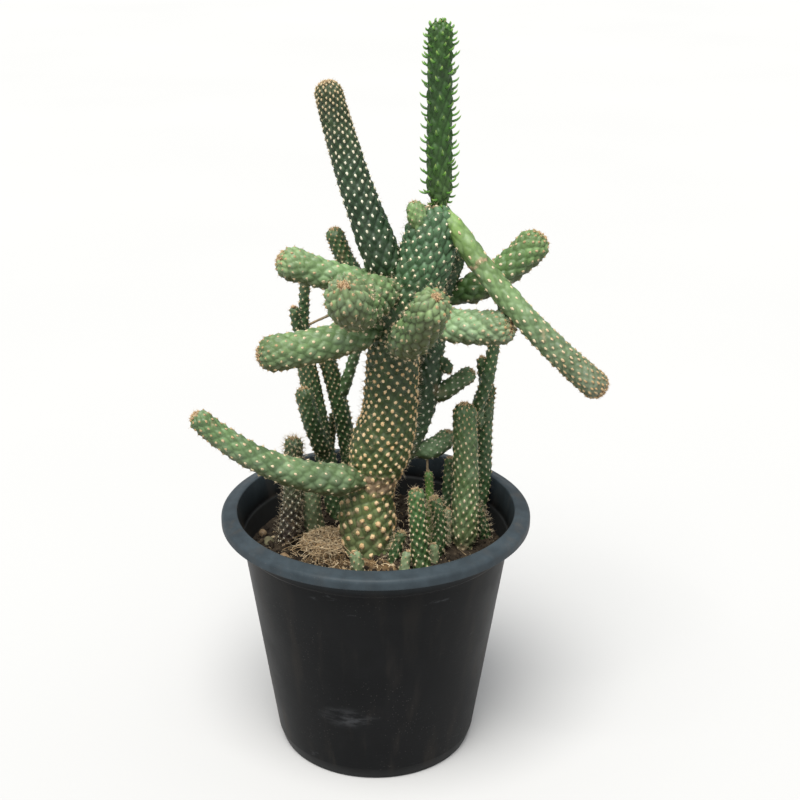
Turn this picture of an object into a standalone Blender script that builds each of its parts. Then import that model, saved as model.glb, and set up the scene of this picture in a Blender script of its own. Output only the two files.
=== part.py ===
"""A cylinder cactus in a round nursery pot, for Blender 4.5 (metres, +Z up).

The origin is the centre of the pot's underside. +X is to the right and -Y is the front, where
two stubby arms point at the viewer. The plant rests in its soil and the soil in its pot, so
nothing turns or slides.
"""

import math
from collections import namedtuple

import bmesh
import bpy
from mathutils import Vector

# Pot: a thin moulded shell with a turned-down lip
POT_HEIGHT = 0.233
RIM_RADIUS = 0.140
LIP_REACH = 0.0145  # from the mouth's edge out to the rim
LIP_DEPTH = 0.0115
LIP_FALL = 0.002  # how far the lip's top slopes down to its edge
LIP_ROUND = 0.004
MOUTH_ROUND = 0.0015
COLLAR_DEPTH = 0.0265  # the wider band between the mouth and the step in the wall
COLLAR_FLARE = 0.004
STEP = 0.002
WALL = 0.002
FLOOR = 0.0025
FOOT_RADIUS = 0.663 * RIM_RADIUS
FOOT_HEIGHT = 0.012
FOOT_INSET = 0.004
HOLE_RADIUS = 0.006
HOLE_RING_RADIUS = 0.733 * FOOT_RADIUS
HOLE_COUNT = 8
POT_SIDES = 44

# The plant's sizes suit a rim of this radius, and it grows with its pot
TABLE_RIM_RADIUS = 0.140
GROWTH = RIM_RADIUS / TABLE_RIM_RADIUS

# Soil, and what lies in it
HEADSPACE = 0.043  # from the rim down to the soil
ROOT_DEPTH = 0.018  # how far a stem is set in the soil
TRUNK_ROOT_DEPTH = 0.035
SOIL_GAP = 0.0003  # soil to pot
SEAT_GAP = 0.0004  # a piece to the one that it grows from or rests in
MOUND_SIZE = (0.024 * GROWTH, 0.018 * GROWTH, 0.013 * GROWTH)  # half lengths
MOUND_REACH = 0.013 * GROWTH  # from the trunk's skin to the mound's middle
MOUND_SIDE = 184  # degrees round the trunk
MOUND_LIFT = 0.003

# Trunk: its height above the soil, its girth and how far its top leans to the right
TRUNK_HEIGHT = 0.320 * GROWTH
TRUNK_RADIUS = 0.0245 * GROWTH
TRUNK_LEAN = 0.0535 * GROWTH
TRUNK_BASE_X = -0.0075 * GROWTH

# Shape of every other stem
SWELL_RUN = 1.5  # belly radii over which a neck widens to the belly
DOME = 0.95  # tip radii that the rounded end is long
DOME_ANGLES = (0, 32, 60, 80)
STATION_SPACING = 0.016
THICK = 0.010  # a stem thicker than this has more sides
FINE_SIDES = 4  # bevel_resolution: 12 sides
PLAIN_SIDES = 3
THIN_SIDES = 2

Stem = namedtuple("Stem", "name skin root along aside headings length girth")
Grown = namedtuple("Grown", "stem points radii buried")

# Skin of each kind: colour, roughness
SKINS = {
    "trunk_skin": ((0.120, 0.200, 0.085), 0.60),
    "arm_skin": ((0.260, 0.430, 0.190), 0.55),
    "leafy_skin": ((0.060, 0.260, 0.050), 0.50),
    "dark_skin": ((0.045, 0.120, 0.050), 0.60),
    "pale_skin": ((0.300, 0.400, 0.240), 0.65),
    "twig_bark": ((0.260, 0.230, 0.120), 0.80),
    "pot_plastic": ((0.018, 0.019, 0.021), 0.50),
    "soil_earth": ((0.060, 0.040, 0.026), 0.95),
    "root_fibre": ((0.330, 0.210, 0.110), 0.90),
    "stone_grit": ((0.300, 0.260, 0.180), 0.80),
}


def grown_size(length, girth):
    """A stem's length and girth, from those in the table below."""
    return length * GROWTH, [radius * GROWTH for radius in girth]


def rooted(name, skin, east, north, headings, length, girth):
    """A stem out of the soil, at shares of the soil's radius to the right and to the back."""
    return Stem(name, skin, None, (east, north), None, headings, *grown_size(length, girth))


def branch(name, skin, root, along, headings, length, girth, aside=(0, 0)):
    """A stem from the middle of another, at a share of its length.

    aside moves its start off the middle: degrees round, and a share of the radius.
    """
    return Stem(name, skin, root, along, aside, headings, *grown_size(length, girth))


# Each heading is (degrees round from +X, degrees of lift), evenly spaced along the stem.
# Each girth is the radius at the neck, at the belly and at the tip.
STEMS = (
    branch("rear_column", "dark_skin", "trunk", 0.22, ((30, 40), (50, 86), (-54, 66)),
           0.235, (0.0125, 0.0148, 0.0125), aside=(45, 0.5)),
    # Rooted stems at the back left
    rooted("stem_left_tall", "dark_skin", -0.32, 0.53, ((144, 77), (190, 81)),
           0.175, (0.0086, 0.0096, 0.0085)),
    rooted("stem_left_back", "dark_skin", -0.18, 0.72, ((-159, 86), (-166, 73)),
           0.173, (0.0078, 0.0087, 0.0075)),
    rooted("stem_left_thin", "dark_skin", -0.38, 0.76, ((-20, 98), (-20, 78)),
           0.098, (0.0039, 0.0048, 0.0042)),
    rooted("stem_left_short", "dark_skin", -0.72, 0.03, ((15, 75), (98, 91)),
           0.105, (0.0056, 0.0082, 0.0080)),
    rooted("stem_left_pale", "pale_skin", -0.46, 0.12, ((156, 72), (172, 100)),
           0.063, (0.0072, 0.0088, 0.0082)),
    # Rooted stems at the right and in front
    rooted("stem_right_rear", "dark_skin", 0.79, 0.43, ((29, 72), (145, 100)),
           0.141, (0.0076, 0.0075, 0.0070)),
    rooted("stem_right", "dark_skin", 0.69, -0.03, ((74, 84), (130, 86)),
           0.140, (0.0075, 0.0120, 0.0100)),
    rooted("stem_right_inner", "dark_skin", 0.55, 0.17, ((77, 89), (56, 81)),
           0.079, (0.0046, 0.0046, 0.0042)),
    rooted("stem_front", "dark_skin", 0.36, -0.41, ((157, 83), (141, 86)),
           0.080, (0.0078, 0.0076, 0.0065)),
    rooted("stem_front_inner", "dark_skin", 0.47, -0.12, ((210, 108), (175, 66)),
           0.058, (0.0052, 0.0064, 0.0055)),
    rooted("stem_front_tiny", "leafy_skin", 0.43, 0.05, ((121, 89), (121, 82)),
           0.072, (0.0037, 0.0041, 0.0036)),
    rooted("stem_right_small", "dark_skin", 0.86, 0.17, ((-155, 77), (-162, 64)),
           0.035, (0.0062, 0.0074, 0.0064)),
    rooted("stem_front_stub", "pale_skin", -0.13, -0.44, ((180, 92), (180, 68)),
           0.022, (0.0052, 0.0062, 0.0052)),
    rooted("stem_front_spiky", "dark_skin", 0.13, -0.25, ((28, 74), (20, 66)),
           0.030, (0.0045, 0.0054, 0.0042)),
    rooted("stump_front", "pale_skin", 0.22, -0.49, ((54, 90), (45, 63)),
           0.024, (0.0050, 0.0046, 0.0040)),
    rooted("stump_pale", "pale_skin", 0.45, -0.27, ((92, 79), (92, 73)),
           0.018, (0.0044, 0.0045, 0.0040)),
    rooted("stump_inner", "pale_skin", 0.57, 0.02, ((125, 92), (127, 81)),
           0.037, (0.0036, 0.0045, 0.0038)),
    rooted("dry_stalk", "twig_bark", 0.80, 0.30, ((250, 84), (300, 88)),
           0.038, (0.0010, 0.0011, 0.0009)),
    # Arms of the trunk
    branch("arm_front_left", "arm_skin", "trunk", 0.77, ((-150, 9), (-104, -2), (-101, 62)),
           0.144, (0.0100, 0.0176, 0.0172)),
    branch("arm_tall_left", "dark_skin", "trunk", 0.72, ((177, 66), (158, 75)),
           0.201, (0.0086, 0.0160, 0.0105), aside=(180, 0.1)),
    branch("arm_tall_right", "leafy_skin", "trunk", 0.96, ((96, 82), (105, 90)),
           0.163, (0.0052, 0.0103, 0.0095), aside=(20, 0.4)),
    branch("arm_drooping", "arm_skin", "trunk", 0.985, ((-36, -50), (-7, -38)),
           0.203, (0.0052, 0.0085, 0.0118), aside=(-10, 0.8)),
    branch("arm_right_lower", "arm_skin", "trunk", 0.69, ((-2, -13), (-43, 17)),
           0.103, (0.0086, 0.0142, 0.0142)),
    branch("arm_front_right", "arm_skin", "trunk", 0.61, ((-75, 16), (-66, 56)),
           0.128, (0.0125, 0.0164, 0.0150)),
    branch("arm_left_middle", "arm_skin", "trunk", 0.69, ((-149, -15), (-168, -2)),
           0.132, (0.0078, 0.0140, 0.0150)),
    branch("arm_left_upper", "arm_skin", "trunk", 0.79, ((171, -7), (196, 29)),
           0.122, (0.0065, 0.0100, 0.0145)),
    branch("arm_left_rear", "dark_skin", "trunk", 0.66, ((135, 26), (182, 76)),
           0.106, (0.0060, 0.0079, 0.0075)),
    branch("arm_left_low", "arm_skin", "trunk", 0.22, ((-132, 8), (-179, 47)),
           0.195, (0.0098, 0.0142, 0.0088)),
    branch("bud_top_left", "arm_skin", "trunk", 0.89, ((-127, 58), (-154, 78)),
           0.046, (0.0075, 0.0080, 0.0062)),
    branch("bud_rear_left", "dark_skin", "trunk", 0.61, ((145, -26), (137, 37)),
           0.041, (0.0044, 0.0053, 0.0045)),
    # Arms of the rear column
    branch("arm_right_upper", "arm_skin", "rear_column", 0.73, ((-4, 16), (15, 51)),
           0.104, (0.0080, 0.0125, 0.0145), aside=(0, 0.5)),
    branch("arm_rear_right", "arm_skin", "rear_column", 0.29, ((10, 32), (-12, 41)),
           0.061, (0.0046, 0.0080, 0.0075)),
    branch("arm_rear_low", "arm_skin", "rear_column", 0.17, ((-19, -67), (29, 2), (-5, 77)),
           0.054, (0.0075, 0.0092, 0.0085)),
    branch("bud_rear_right", "dark_skin", "rear_column", 0.50, ((-20, 5), (-35, -70)),
           0.027, (0.0046, 0.0054, 0.0042)),
    # Side shoots of the rooted stems
    branch("stem_left_tall_top", "dark_skin", "stem_left_tall", 0.94, ((-2, 92), (-2, 85)),
           0.076, (0.0040, 0.0047, 0.0044)),
    branch("stem_left_side", "dark_skin", "stem_left_tall", 0.34, ((-114, 59), (-156, 80)),
           0.086, (0.0064, 0.0084, 0.0076)),
    branch("bud_left_tall", "dark_skin", "stem_left_tall_top", 0.20, ((-135, 52), (-115, 88)),
           0.038, (0.0037, 0.0043, 0.0040)),
    branch("twig_left", "twig_bark", "stem_left_tall_top", 0.36, ((-8, 30), (-4, 26)),
           0.028, (0.0014, 0.0015, 0.0012)),
    branch("stem_left_back_branch", "dark_skin", "stem_left_back", 0.65, ((-41, 68), (-14, 75)),
           0.073, (0.0039, 0.0056, 0.0044)),
    branch("stem_right_rear_top", "dark_skin", "stem_right_rear", 0.64,
           ((-157, 52), (29, 81), (-15, 76)), 0.158, (0.0034, 0.0062, 0.0044)),
    branch("bud_right_rear", "dark_skin", "stem_right_rear", 0.94, ((-109, 44), (-130, 91)),
           0.044, (0.0037, 0.0043, 0.0040)),
    branch("aerial_root", "twig_bark", "arm_rear_low", 0.45, ((-60, -80), (-100, -86)),
           0.030, (0.0011, 0.0010, 0.0008)),
)

# Trunk outline: share of the height, share of the lean, share of TRUNK_RADIUS
TRUNK_STATIONS = (
    (0.00, 0.00, 1.00),
    (0.10, -0.01, 1.02),
    (0.21, 0.08, 0.83),
    (0.27, 0.16, 1.01),
    (0.335, 0.25, 1.07),
    (0.40, 0.35, 0.98),
    (0.50, 0.39, 0.92),
    (0.67, 0.50, 0.91),
    (0.80, 0.80, 0.94),
    (0.90, 0.98, 0.90),
    (0.96, 1.01, 0.76),
    (0.99, 1.01, 0.54),
    (1.00, 1.00, 0.30),
)

# Stones on the soil: shares of the soil's radius to the right and back, and half lengths
STONES = (
    ("stone_left", -0.85, 0.07, (0.0075, 0.0056, 0.0046)),
    ("stone_left_edge", -0.91, 0.22, (0.0050, 0.0042, 0.0040)),
    ("stone_left_front", -0.71, -0.18, (0.0054, 0.0046, 0.0036)),
)


# ---------------------------------------------------------------- scene and materials


def clear_scene():
    for obj in list(bpy.data.objects):
        bpy.data.objects.remove(obj, do_unlink=True)


def new_collection(name, is_helper=False):
    collection = bpy.data.collections.new(name)
    bpy.context.scene.collection.children.link(collection)
    collection.hide_render = is_helper
    return collection


def give_material(obj, skin):
    colour, roughness = SKINS[skin]
    material = bpy.data.materials.new(f"{obj.name}_{skin}")
    material.use_nodes = True
    shader = material.node_tree.nodes["Principled BSDF"]
    shader.inputs["Base Color"].default_value = (*colour, 1.0)
    shader.inputs["Roughness"].default_value = roughness
    shader.inputs["Metallic"].default_value = 0.0
    material.diffuse_color = (*colour, 1.0)
    obj.data.materials.append(material)


def add_object(name, mesh, collection):
    obj = bpy.data.objects.new(name, mesh)
    collection.objects.link(obj)
    return obj


def mark_cutter(obj):
    obj.hide_render = True
    obj.display_type = "WIRE"


def cut(obj, cutter):
    modifier = obj.modifiers.new(f"clear_of_{cutter.name}", "BOOLEAN")
    modifier.operation = "DIFFERENCE"
    modifier.solver = "EXACT"
    modifier.object = cutter


# ---------------------------------------------------------------- pot


def step_height():
    return POT_HEIGHT - COLLAR_DEPTH


def soil_height():
    return POT_HEIGHT - HEADSPACE


def mouth_radius():
    return RIM_RADIUS - LIP_REACH


def wall_top_radius():
    """Outer radius of the wall just under its step."""
    return mouth_radius() - COLLAR_FLARE - STEP + WALL


def wall_radius(height):
    """Outer radius of the pot's side below the step."""
    share = (height - FOOT_HEIGHT) / (step_height() - FOOT_HEIGHT)
    return FOOT_RADIUS + share * (wall_top_radius() - FOOT_RADIUS)


def arc(centre, radius, start, end, count):
    """Points on a circle in the profile's plane, between two angles in degrees."""
    angles = [math.radians(start + (end - start) * i / (count - 1)) for i in range(count)]
    return [(centre[0] + radius * math.cos(a), centre[1] + radius * math.sin(a)) for a in angles]


def pot_profile():
    """Radius and height from the middle of the floor, up the inside and down the outside."""
    collar = mouth_radius() - COLLAR_FLARE
    mouth = mouth_radius() + MOUTH_ROUND
    edge_top = POT_HEIGHT - LIP_FALL - LIP_ROUND
    lip_bottom = POT_HEIGHT - LIP_DEPTH
    inside = [
        (0.0, FLOOR),
        (FOOT_RADIUS - FOOT_INSET - WALL, FLOOR),
        (FOOT_RADIUS - WALL, FOOT_HEIGHT),
        (wall_radius(step_height()) - WALL, step_height()),
        (collar, step_height() + WALL),
    ]
    mouth_edge = arc((mouth, POT_HEIGHT - MOUTH_ROUND), MOUTH_ROUND, 180, 90, 4)
    lip_edge = arc((RIM_RADIUS - LIP_ROUND, edge_top), LIP_ROUND, 75, 0, 5)
    skirt = [
        (RIM_RADIUS, lip_bottom),
        (RIM_RADIUS - WALL, lip_bottom),
        (RIM_RADIUS - WALL, edge_top),
        (RIM_RADIUS - LIP_ROUND, edge_top + LIP_ROUND - WALL),
        (mouth + WALL, POT_HEIGHT - MOUTH_ROUND - WALL),
    ]
    outside = [
        (collar + WALL, step_height()),
        (wall_radius(step_height() - WALL), step_height() - WALL),
        (FOOT_RADIUS, FOOT_HEIGHT),
        (FOOT_RADIUS - FOOT_INSET, 0.0),
        (0.0, 0.0),
    ]
    return inside + mouth_edge + lip_edge + skirt + outside


def turned(name, profile, collection):
    """A solid of revolution from a profile of (radius, height) points."""
    mesh = bpy.data.meshes.new(name)
    edges = [(i, i + 1) for i in range(len(profile) - 1)]
    mesh.from_pydata([(radius, 0.0, height) for radius, height in profile], edges, [])
    obj = add_object(name, mesh, collection)
    screw = obj.modifiers.new("turn", "SCREW")
    screw.axis = "Z"
    screw.steps = POT_SIDES
    screw.render_steps = POT_SIDES
    screw.use_merge_vertices = True
    screw.merge_threshold = 0.00001
    screw.use_smooth_shade = False
    return obj


def make_hole_cutter(index, collection):
    mesh = bpy.data.meshes.new(f"drain_cutter_{index}")
    shape = bmesh.new()
    bmesh.ops.create_cone(shape, cap_ends=True, segments=16, radius1=HOLE_RADIUS,
                          radius2=HOLE_RADIUS, depth=4 * FLOOR)
    shape.to_mesh(mesh)
    shape.free()
    cutter = add_object(mesh.name, mesh, collection)
    angle = 2 * math.pi * (index + 0.5) / HOLE_COUNT
    cutter.location = (HOLE_RING_RADIUS * math.cos(angle), HOLE_RING_RADIUS * math.sin(angle), 0)
    mark_cutter(cutter)
    return cutter


def make_pot(parts, cutters):
    pot = turned("pot", pot_profile(), parts)
    give_material(pot, "pot_plastic")
    for index in range(HOLE_COUNT):
        cut(pot, make_hole_cutter(index, cutters))


# ---------------------------------------------------------------- soil


def soil_radius():
    """Radius of the soil's top, a gap inside the pot's wall."""
    return wall_radius(soil_height()) - WALL - SOIL_GAP


def make_soil(parts):
    profile = [
        (0.0, soil_height()),
        (soil_radius(), soil_height()),
        (FOOT_RADIUS - WALL - SOIL_GAP, FOOT_HEIGHT),
        (FOOT_RADIUS - FOOT_INSET - WALL - SOIL_GAP, FLOOR + SOIL_GAP),
        (0.0, FLOOR + SOIL_GAP),
    ]
    soil = turned("soil", profile, parts)
    give_material(soil, "soil_earth")
    return soil


def lump(name, middle, half_lengths, turn, collection):
    """A smooth pebble shape: a ball stretched along three axes and turned about Z."""
    mesh = bpy.data.meshes.new(name)
    shape = bmesh.new()
    bmesh.ops.create_uvsphere(shape, u_segments=14, v_segments=9, radius=1.0)
    bmesh.ops.scale(shape, vec=half_lengths, verts=shape.verts)
    shape.to_mesh(mesh)
    shape.free()
    obj = add_object(name, mesh, collection)
    obj.location = middle
    obj.rotation_euler = (0.0, 0.0, math.radians(turn))
    return obj


def make_lump_and_pocket(name, skin, middle, half_lengths, turn, soil, parts, cutters):
    """A lump lying in the soil, with the soil cut back round it."""
    piece = lump(name, middle, half_lengths, turn, parts)
    give_material(piece, skin)
    pocket = lump(f"{name}_pocket", middle, [h + SEAT_GAP for h in half_lengths], turn, cutters)
    mark_cutter(pocket)
    cut(soil, pocket)
    return piece


# ---------------------------------------------------------------- stems


def direction(heading):
    around, lift = (math.radians(angle) for angle in heading)
    return Vector((math.cos(lift) * math.cos(around), math.cos(lift) * math.sin(around),
                   math.sin(lift)))


def heading_at(headings, share):
    """The heading at a share of the length, turned evenly between the named ones."""
    place = share * (len(headings) - 1)
    first = min(int(place), len(headings) - 2)
    blend = place - first
    return [a + (b - a) * blend for a, b in zip(headings[first], headings[first + 1])]


def eased(share):
    share = min(max(share, 0.0), 1.0)
    return share * share * (3.0 - 2.0 * share)


def girth_at(stem, distance, neck_run):
    """Radius at a distance from the start, before the rounded end."""
    neck, belly, tip = stem.girth
    swell_run = min(SWELL_RUN * belly, 0.5 * (stem.length - neck_run))
    if distance < neck_run + swell_run:
        return neck + (belly - neck) * eased((distance - neck_run) / swell_run)
    share = (distance - neck_run - swell_run) / (stem.length - neck_run - swell_run)
    return belly + (tip - belly) * share


def stations(stem):
    """Distances along a stem: evenly to its shoulder, then closer round its end."""
    dome = DOME * stem.girth[2]
    body = stem.length - dome
    count = max(3, round(body / STATION_SPACING))
    even = [body * i / count for i in range(count)]
    return even + [body + dome * math.sin(math.radians(a)) for a in DOME_ANGLES]


def dome_share(stem, distance):
    """How much of the girth is left at a distance, in the rounded end."""
    dome = DOME * stem.girth[2]
    into = max(0.0, distance - (stem.length - dome)) / dome
    return math.sqrt(max(0.0, 1.0 - into * into))


def along(line, share):
    """The point and the radius at a share of a grown stem's length above its buried part."""
    points, radii = line.points[line.buried:], line.radii[line.buried:]
    steps = [(b - a).length for a, b in zip(points, points[1:])]
    left = share * sum(steps)
    first = 0
    while first < len(steps) - 1 and left > steps[first]:
        left -= steps[first]
        first += 1
    blend = left / steps[first]
    point = points[first].lerp(points[first + 1], blend)
    return point, radii[first] * (1 - blend) + radii[first + 1] * blend


def start_of(stem, grown):
    """Where a stem's line starts, and how far it stays at its neck's girth."""
    if stem.root is None:
        east, north = stem.along
        return Vector((east * soil_radius(), north * soil_radius(), soil_height())), 0.0
    point, radius = along(grown[stem.root], stem.along)
    around, share = stem.aside
    return point + share * radius * direction((around, 0)), (1 - share) * radius


def grow(stem, grown):
    """The stem's centre line and its radius at each point, with a straight root if it is rooted."""
    start, neck_run = start_of(stem, grown)
    points, radii = [start], [girth_at(stem, 0.0, neck_run)]
    places = stations(stem)
    for here, there in zip(places, places[1:]):
        step = direction(heading_at(stem.headings, 0.5 * (here + there) / stem.length))
        points.append(points[-1] + step * (there - here))
        radii.append(girth_at(stem, there, neck_run) * dome_share(stem, there))
    if stem.root is not None:
        return Grown(stem, points, radii, 0)
    down = direction(stem.headings[0]) * -ROOT_DEPTH
    return Grown(stem, [start + down] + points, [stem.girth[0]] + radii, 1)


def grow_trunk():
    base = Vector((TRUNK_BASE_X, 0.0, soil_height()))
    points = [base - Vector((0.0, 0.0, TRUNK_ROOT_DEPTH))]
    radii = [TRUNK_RADIUS]
    for height, lean, girth in TRUNK_STATIONS:
        points.append(base + Vector((lean * TRUNK_LEAN, 0.0, height * TRUNK_HEIGHT)))
        radii.append(girth * TRUNK_RADIUS)
    stem = Stem("trunk", "trunk_skin", None, None, None, None, TRUNK_HEIGHT, (TRUNK_RADIUS,) * 3)
    return Grown(stem, points, radii, 1)


def sides_of(stem):
    if stem.name == "trunk":
        return FINE_SIDES
    return PLAIN_SIDES if max(stem.girth) > THICK else THIN_SIDES


def tube(name, points, radii, sides, collection):
    """A closed tube along a line, its radius changing from point to point."""
    curve = bpy.data.curves.new(name, "CURVE")
    curve.dimensions = "3D"
    curve.bevel_depth = 1.0
    curve.bevel_resolution = sides
    curve.use_fill_caps = True
    spline = curve.splines.new("POLY")
    spline.points.add(len(points) - 1)
    for knot, point, radius in zip(spline.points, points, radii):
        knot.co = (*point, 1.0)
        knot.radius = radius
    guide = add_object(f"{name}_guide", curve, collection)
    bpy.context.view_layer.update()
    evaluated = guide.evaluated_get(bpy.context.evaluated_depsgraph_get())
    mesh = bpy.data.meshes.new_from_object(evaluated)
    mesh.name = name
    shape = bmesh.new()
    shape.from_mesh(mesh)
    bmesh.ops.remove_doubles(shape, verts=shape.verts, dist=0.000001)
    bmesh.ops.recalc_face_normals(shape, faces=shape.faces)
    shape.to_mesh(mesh)
    shape.free()
    obj = add_object(name, mesh, collection)
    obj.matrix_world = guide.matrix_world
    bpy.data.objects.remove(guide, do_unlink=True)
    return obj


def clearance_tube(line, cutters):
    """A stem's shape grown by the seat gap all round, to cut what meets it."""
    points = list(line.points)
    points[0] = points[0] + (points[0] - points[1]).normalized() * SEAT_GAP
    points[-1] = points[-1] + (points[-1] - points[-2]).normalized() * SEAT_GAP
    radii = [radius + SEAT_GAP for radius in line.radii]
    cutter = tube(f"{line.stem.name}_clearance", points, radii, sides_of(line.stem), cutters)
    mark_cutter(cutter)
    return cutter


def segment_gap(line, other):
    """The least space between two stems' skins, from points along their centre lines."""
    least = math.inf
    for a, radius_a in dense(line):
        for b, radius_b in dense(other):
            least = min(least, (a - b).length - radius_a - radius_b)
    return least


def dense(line):
    """The line's points with two more between each pair."""
    found = []
    for i in range(len(line.points) - 1):
        for blend in (0.0, 1 / 3, 2 / 3):
            point = line.points[i].lerp(line.points[i + 1], blend)
            radius = line.radii[i] * (1 - blend) + line.radii[i + 1] * blend
            found.append((point, radius))
    return found + [(line.points[-1], line.radii[-1])]


def make_stem(line, grown, clearances, parts):
    """The stem's solid, cut back where it meets a stem that was there before it."""
    obj = tube(line.stem.name, line.points, line.radii, sides_of(line.stem), parts)
    obj.data.shade_smooth()
    give_material(obj, line.stem.skin)
    for name, other in grown.items():
        if segment_gap(line, other) < 2 * SEAT_GAP:
            cut(obj, clearances[name])
    return obj


def make_plant(soil, parts, cutters):
    grown, clearances = {}, {}
    for stem in (None,) + STEMS:
        line = grow_trunk() if stem is None else grow(stem, grown)
        make_stem(line, grown, clearances, parts)
        clearances[line.stem.name] = clearance_tube(line, cutters)
        grown[line.stem.name] = line
        if line.stem.root is None:
            cut(soil, clearances[line.stem.name])
    return grown, clearances


def make_root_mound(grown, clearances, soil, parts, cutters):
    """A clump of fine roots lying against the foot of the trunk."""
    foot, radius = along(grown["trunk"], 0.0)
    middle = foot + (radius + MOUND_REACH) * direction((MOUND_SIDE, 0))
    middle.z += MOUND_LIFT
    mound = make_lump_and_pocket("root_mound", "root_fibre", middle, MOUND_SIZE,
                                 MOUND_SIDE, soil, parts, cutters)
    cut(mound, clearances["trunk"])
    cut(mound, clearances["stem_left_pale"])


def make_stones(soil, parts, cutters):
    for name, east, north, half_lengths in STONES:
        middle = (east * soil_radius(), north * soil_radius(), soil_height())
        make_lump_and_pocket(name, "stone_grit", middle, half_lengths, 90 * east, soil, parts,
                             cutters)


def main():
    clear_scene()
    parts = new_collection("potted_cylinder_cactus")
    cutters = new_collection("cutters", is_helper=True)
    make_pot(parts, cutters)
    soil = make_soil(parts)
    grown, clearances = make_plant(soil, parts, cutters)
    make_root_mound(grown, clearances, soil, parts, cutters)
    make_stones(soil, parts, cutters)


main()
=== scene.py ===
"""Looks of the potted cylinder cactus, in metres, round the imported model.

Every stem is grown along the same line as its CAD solid and gets its warts, wool, spines and
leaves as real shapes. The pot, the soil and what lies on it are modelled over their solids.
"""

import itertools
import math
from collections import namedtuple

import bpy
import numpy as np
from mathutils import Matrix, Vector


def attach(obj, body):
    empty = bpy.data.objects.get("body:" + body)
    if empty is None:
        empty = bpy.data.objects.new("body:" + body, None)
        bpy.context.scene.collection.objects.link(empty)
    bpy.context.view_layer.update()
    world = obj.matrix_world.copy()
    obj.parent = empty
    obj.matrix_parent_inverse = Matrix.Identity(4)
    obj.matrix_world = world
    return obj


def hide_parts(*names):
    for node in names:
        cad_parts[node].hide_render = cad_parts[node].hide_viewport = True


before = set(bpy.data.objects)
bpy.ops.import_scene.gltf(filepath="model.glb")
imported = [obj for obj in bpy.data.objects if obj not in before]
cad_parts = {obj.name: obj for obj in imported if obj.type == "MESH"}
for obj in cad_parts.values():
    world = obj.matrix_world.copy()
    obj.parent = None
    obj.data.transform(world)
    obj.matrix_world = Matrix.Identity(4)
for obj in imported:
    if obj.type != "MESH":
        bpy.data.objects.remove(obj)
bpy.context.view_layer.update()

# Sizes that part.py has too
POT_HEIGHT = 0.233
RIM_RADIUS = 0.140
LIP_REACH = 0.0145
LIP_DEPTH = 0.0115
LIP_FALL = 0.002
LIP_ROUND = 0.004
MOUTH_ROUND = 0.0015
COLLAR_DEPTH = 0.0265
COLLAR_FLARE = 0.004
STEP = 0.002
WALL = 0.002
FLOOR = 0.0025
FOOT_RADIUS = 0.663 * RIM_RADIUS
FOOT_HEIGHT = 0.012
FOOT_INSET = 0.004
HOLE_RADIUS = 0.006
HOLE_RING_RADIUS = 0.733 * FOOT_RADIUS
HOLE_COUNT = 8
HEADSPACE = 0.043
ROOT_DEPTH = 0.018
TRUNK_ROOT_DEPTH = 0.035
SOIL_GAP = 0.0003
MOUND_SIZE = (0.024, 0.018, 0.013)
MOUND_REACH = 0.013
MOUND_SIDE = 184
MOUND_LIFT = 0.003
TRUNK_HEIGHT = 0.320
TRUNK_RADIUS = 0.0245
TRUNK_LEAN = 0.0535
TRUNK_BASE_X = -0.0075
SWELL_RUN = 1.5
DOME = 0.95

# Camera, as the photograph was taken
CAMERA_PLACE = (0.0211, -1.2, 0.8112)
CAMERA_PITCH = -0.3775  # radians, down from level
CAMERA_ROLL = 0.0071
CAMERA_LENS = 65.77  # millimetres
SENSOR_WIDTH = 36.0
FARTHEST_SEEN = 1000.0

# Floor, light and sky
FLOOR_GAP = 0.0005  # under the pot
FLOOR_FLAT = 6.0  # radius of the flat part
FLOOR_SWEEP = 60.0  # radius of the curve that rises round it
FLOOR_RISE = 18.0  # degrees of that curve
FLOOR_GREYS = (0.475, 0.485)  # shares of the light that it throws back
SUN_STRENGTH = 5.2
SUN_SPREAD = 42.0  # degrees, which is what softens the shadows
SUN_COLOUR = (1.0, 0.985, 0.95)
SUN_WAY = (0.12, 0.46, -1.0)
SKY_COLOUR = (0.94, 0.97, 1.0, 1.0)
SKY_STRENGTH = 0.62

# Fineness of the meshes
SKIN_CELL = 0.0012  # edge length of the stems' skins
POT_SIDES = 192

# Warts and areoles
GOLDEN_TURN = 0.381966  # of a full turn between one areole and the next
CELL_SHARE = 0.87  # area of a wart, in squares of the spacing
SPOT_DRIFT = 0.30  # how far an areole strays from its place on the spiral, in spacings
FURROW_RUN = 0.6  # how much nearer its areole than the next a wart is full height, in spacings
CREST_RUN = 0.62  # how far a wart's crest reaches, in spacings
PLATEAU_RISE = 0.55  # share of the relief that is below the plain skin
CREST_RISE = 0.45  # share of the relief that is above it
WOOL_SIDES = 7
WOOL_RINGS = ((1.00, -0.35), (0.92, 0.18), (0.55, 0.46))  # width and height, in areole radii
WOOL_TOP = 0.56
SPINE_RADIUS = 0.00012
BRISTLE_RADIUS = 0.00028
LEAF_LENGTH = 0.0080
LEAF_RADIUS = 0.00125
LEAF_SIDES = 6
LEAF_RINGS = 7

# What lies on the soil
SOIL_CRUMBS = 2300
MOUND_CRUMBS = 1200
SOIL_STRANDS = 1500
MOUND_STRANDS = 900
STRAND_SIDES = 4
STRAND_RINGS = 9

Stem = namedtuple("Stem", "name skin root along aside headings length girth")
Line = namedtuple("Line", "stem points radii buried")
Skin = namedtuple("Skin", "line places centres sides fronts tangents radii leans")


def rooted(name, skin, east, north, headings, length, girth):
    """A stem out of the soil, at shares of the soil's radius to the right and to the back."""
    return Stem(name, skin, None, (east, north), None, headings, length, girth)


def branch(name, skin, root, along, headings, length, girth, aside=(0, 0)):
    """A stem from the middle of another, at a share of its length.

    aside moves its start off the middle: degrees round, and a share of the radius.
    """
    return Stem(name, skin, root, along, aside, headings, length, girth)


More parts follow.
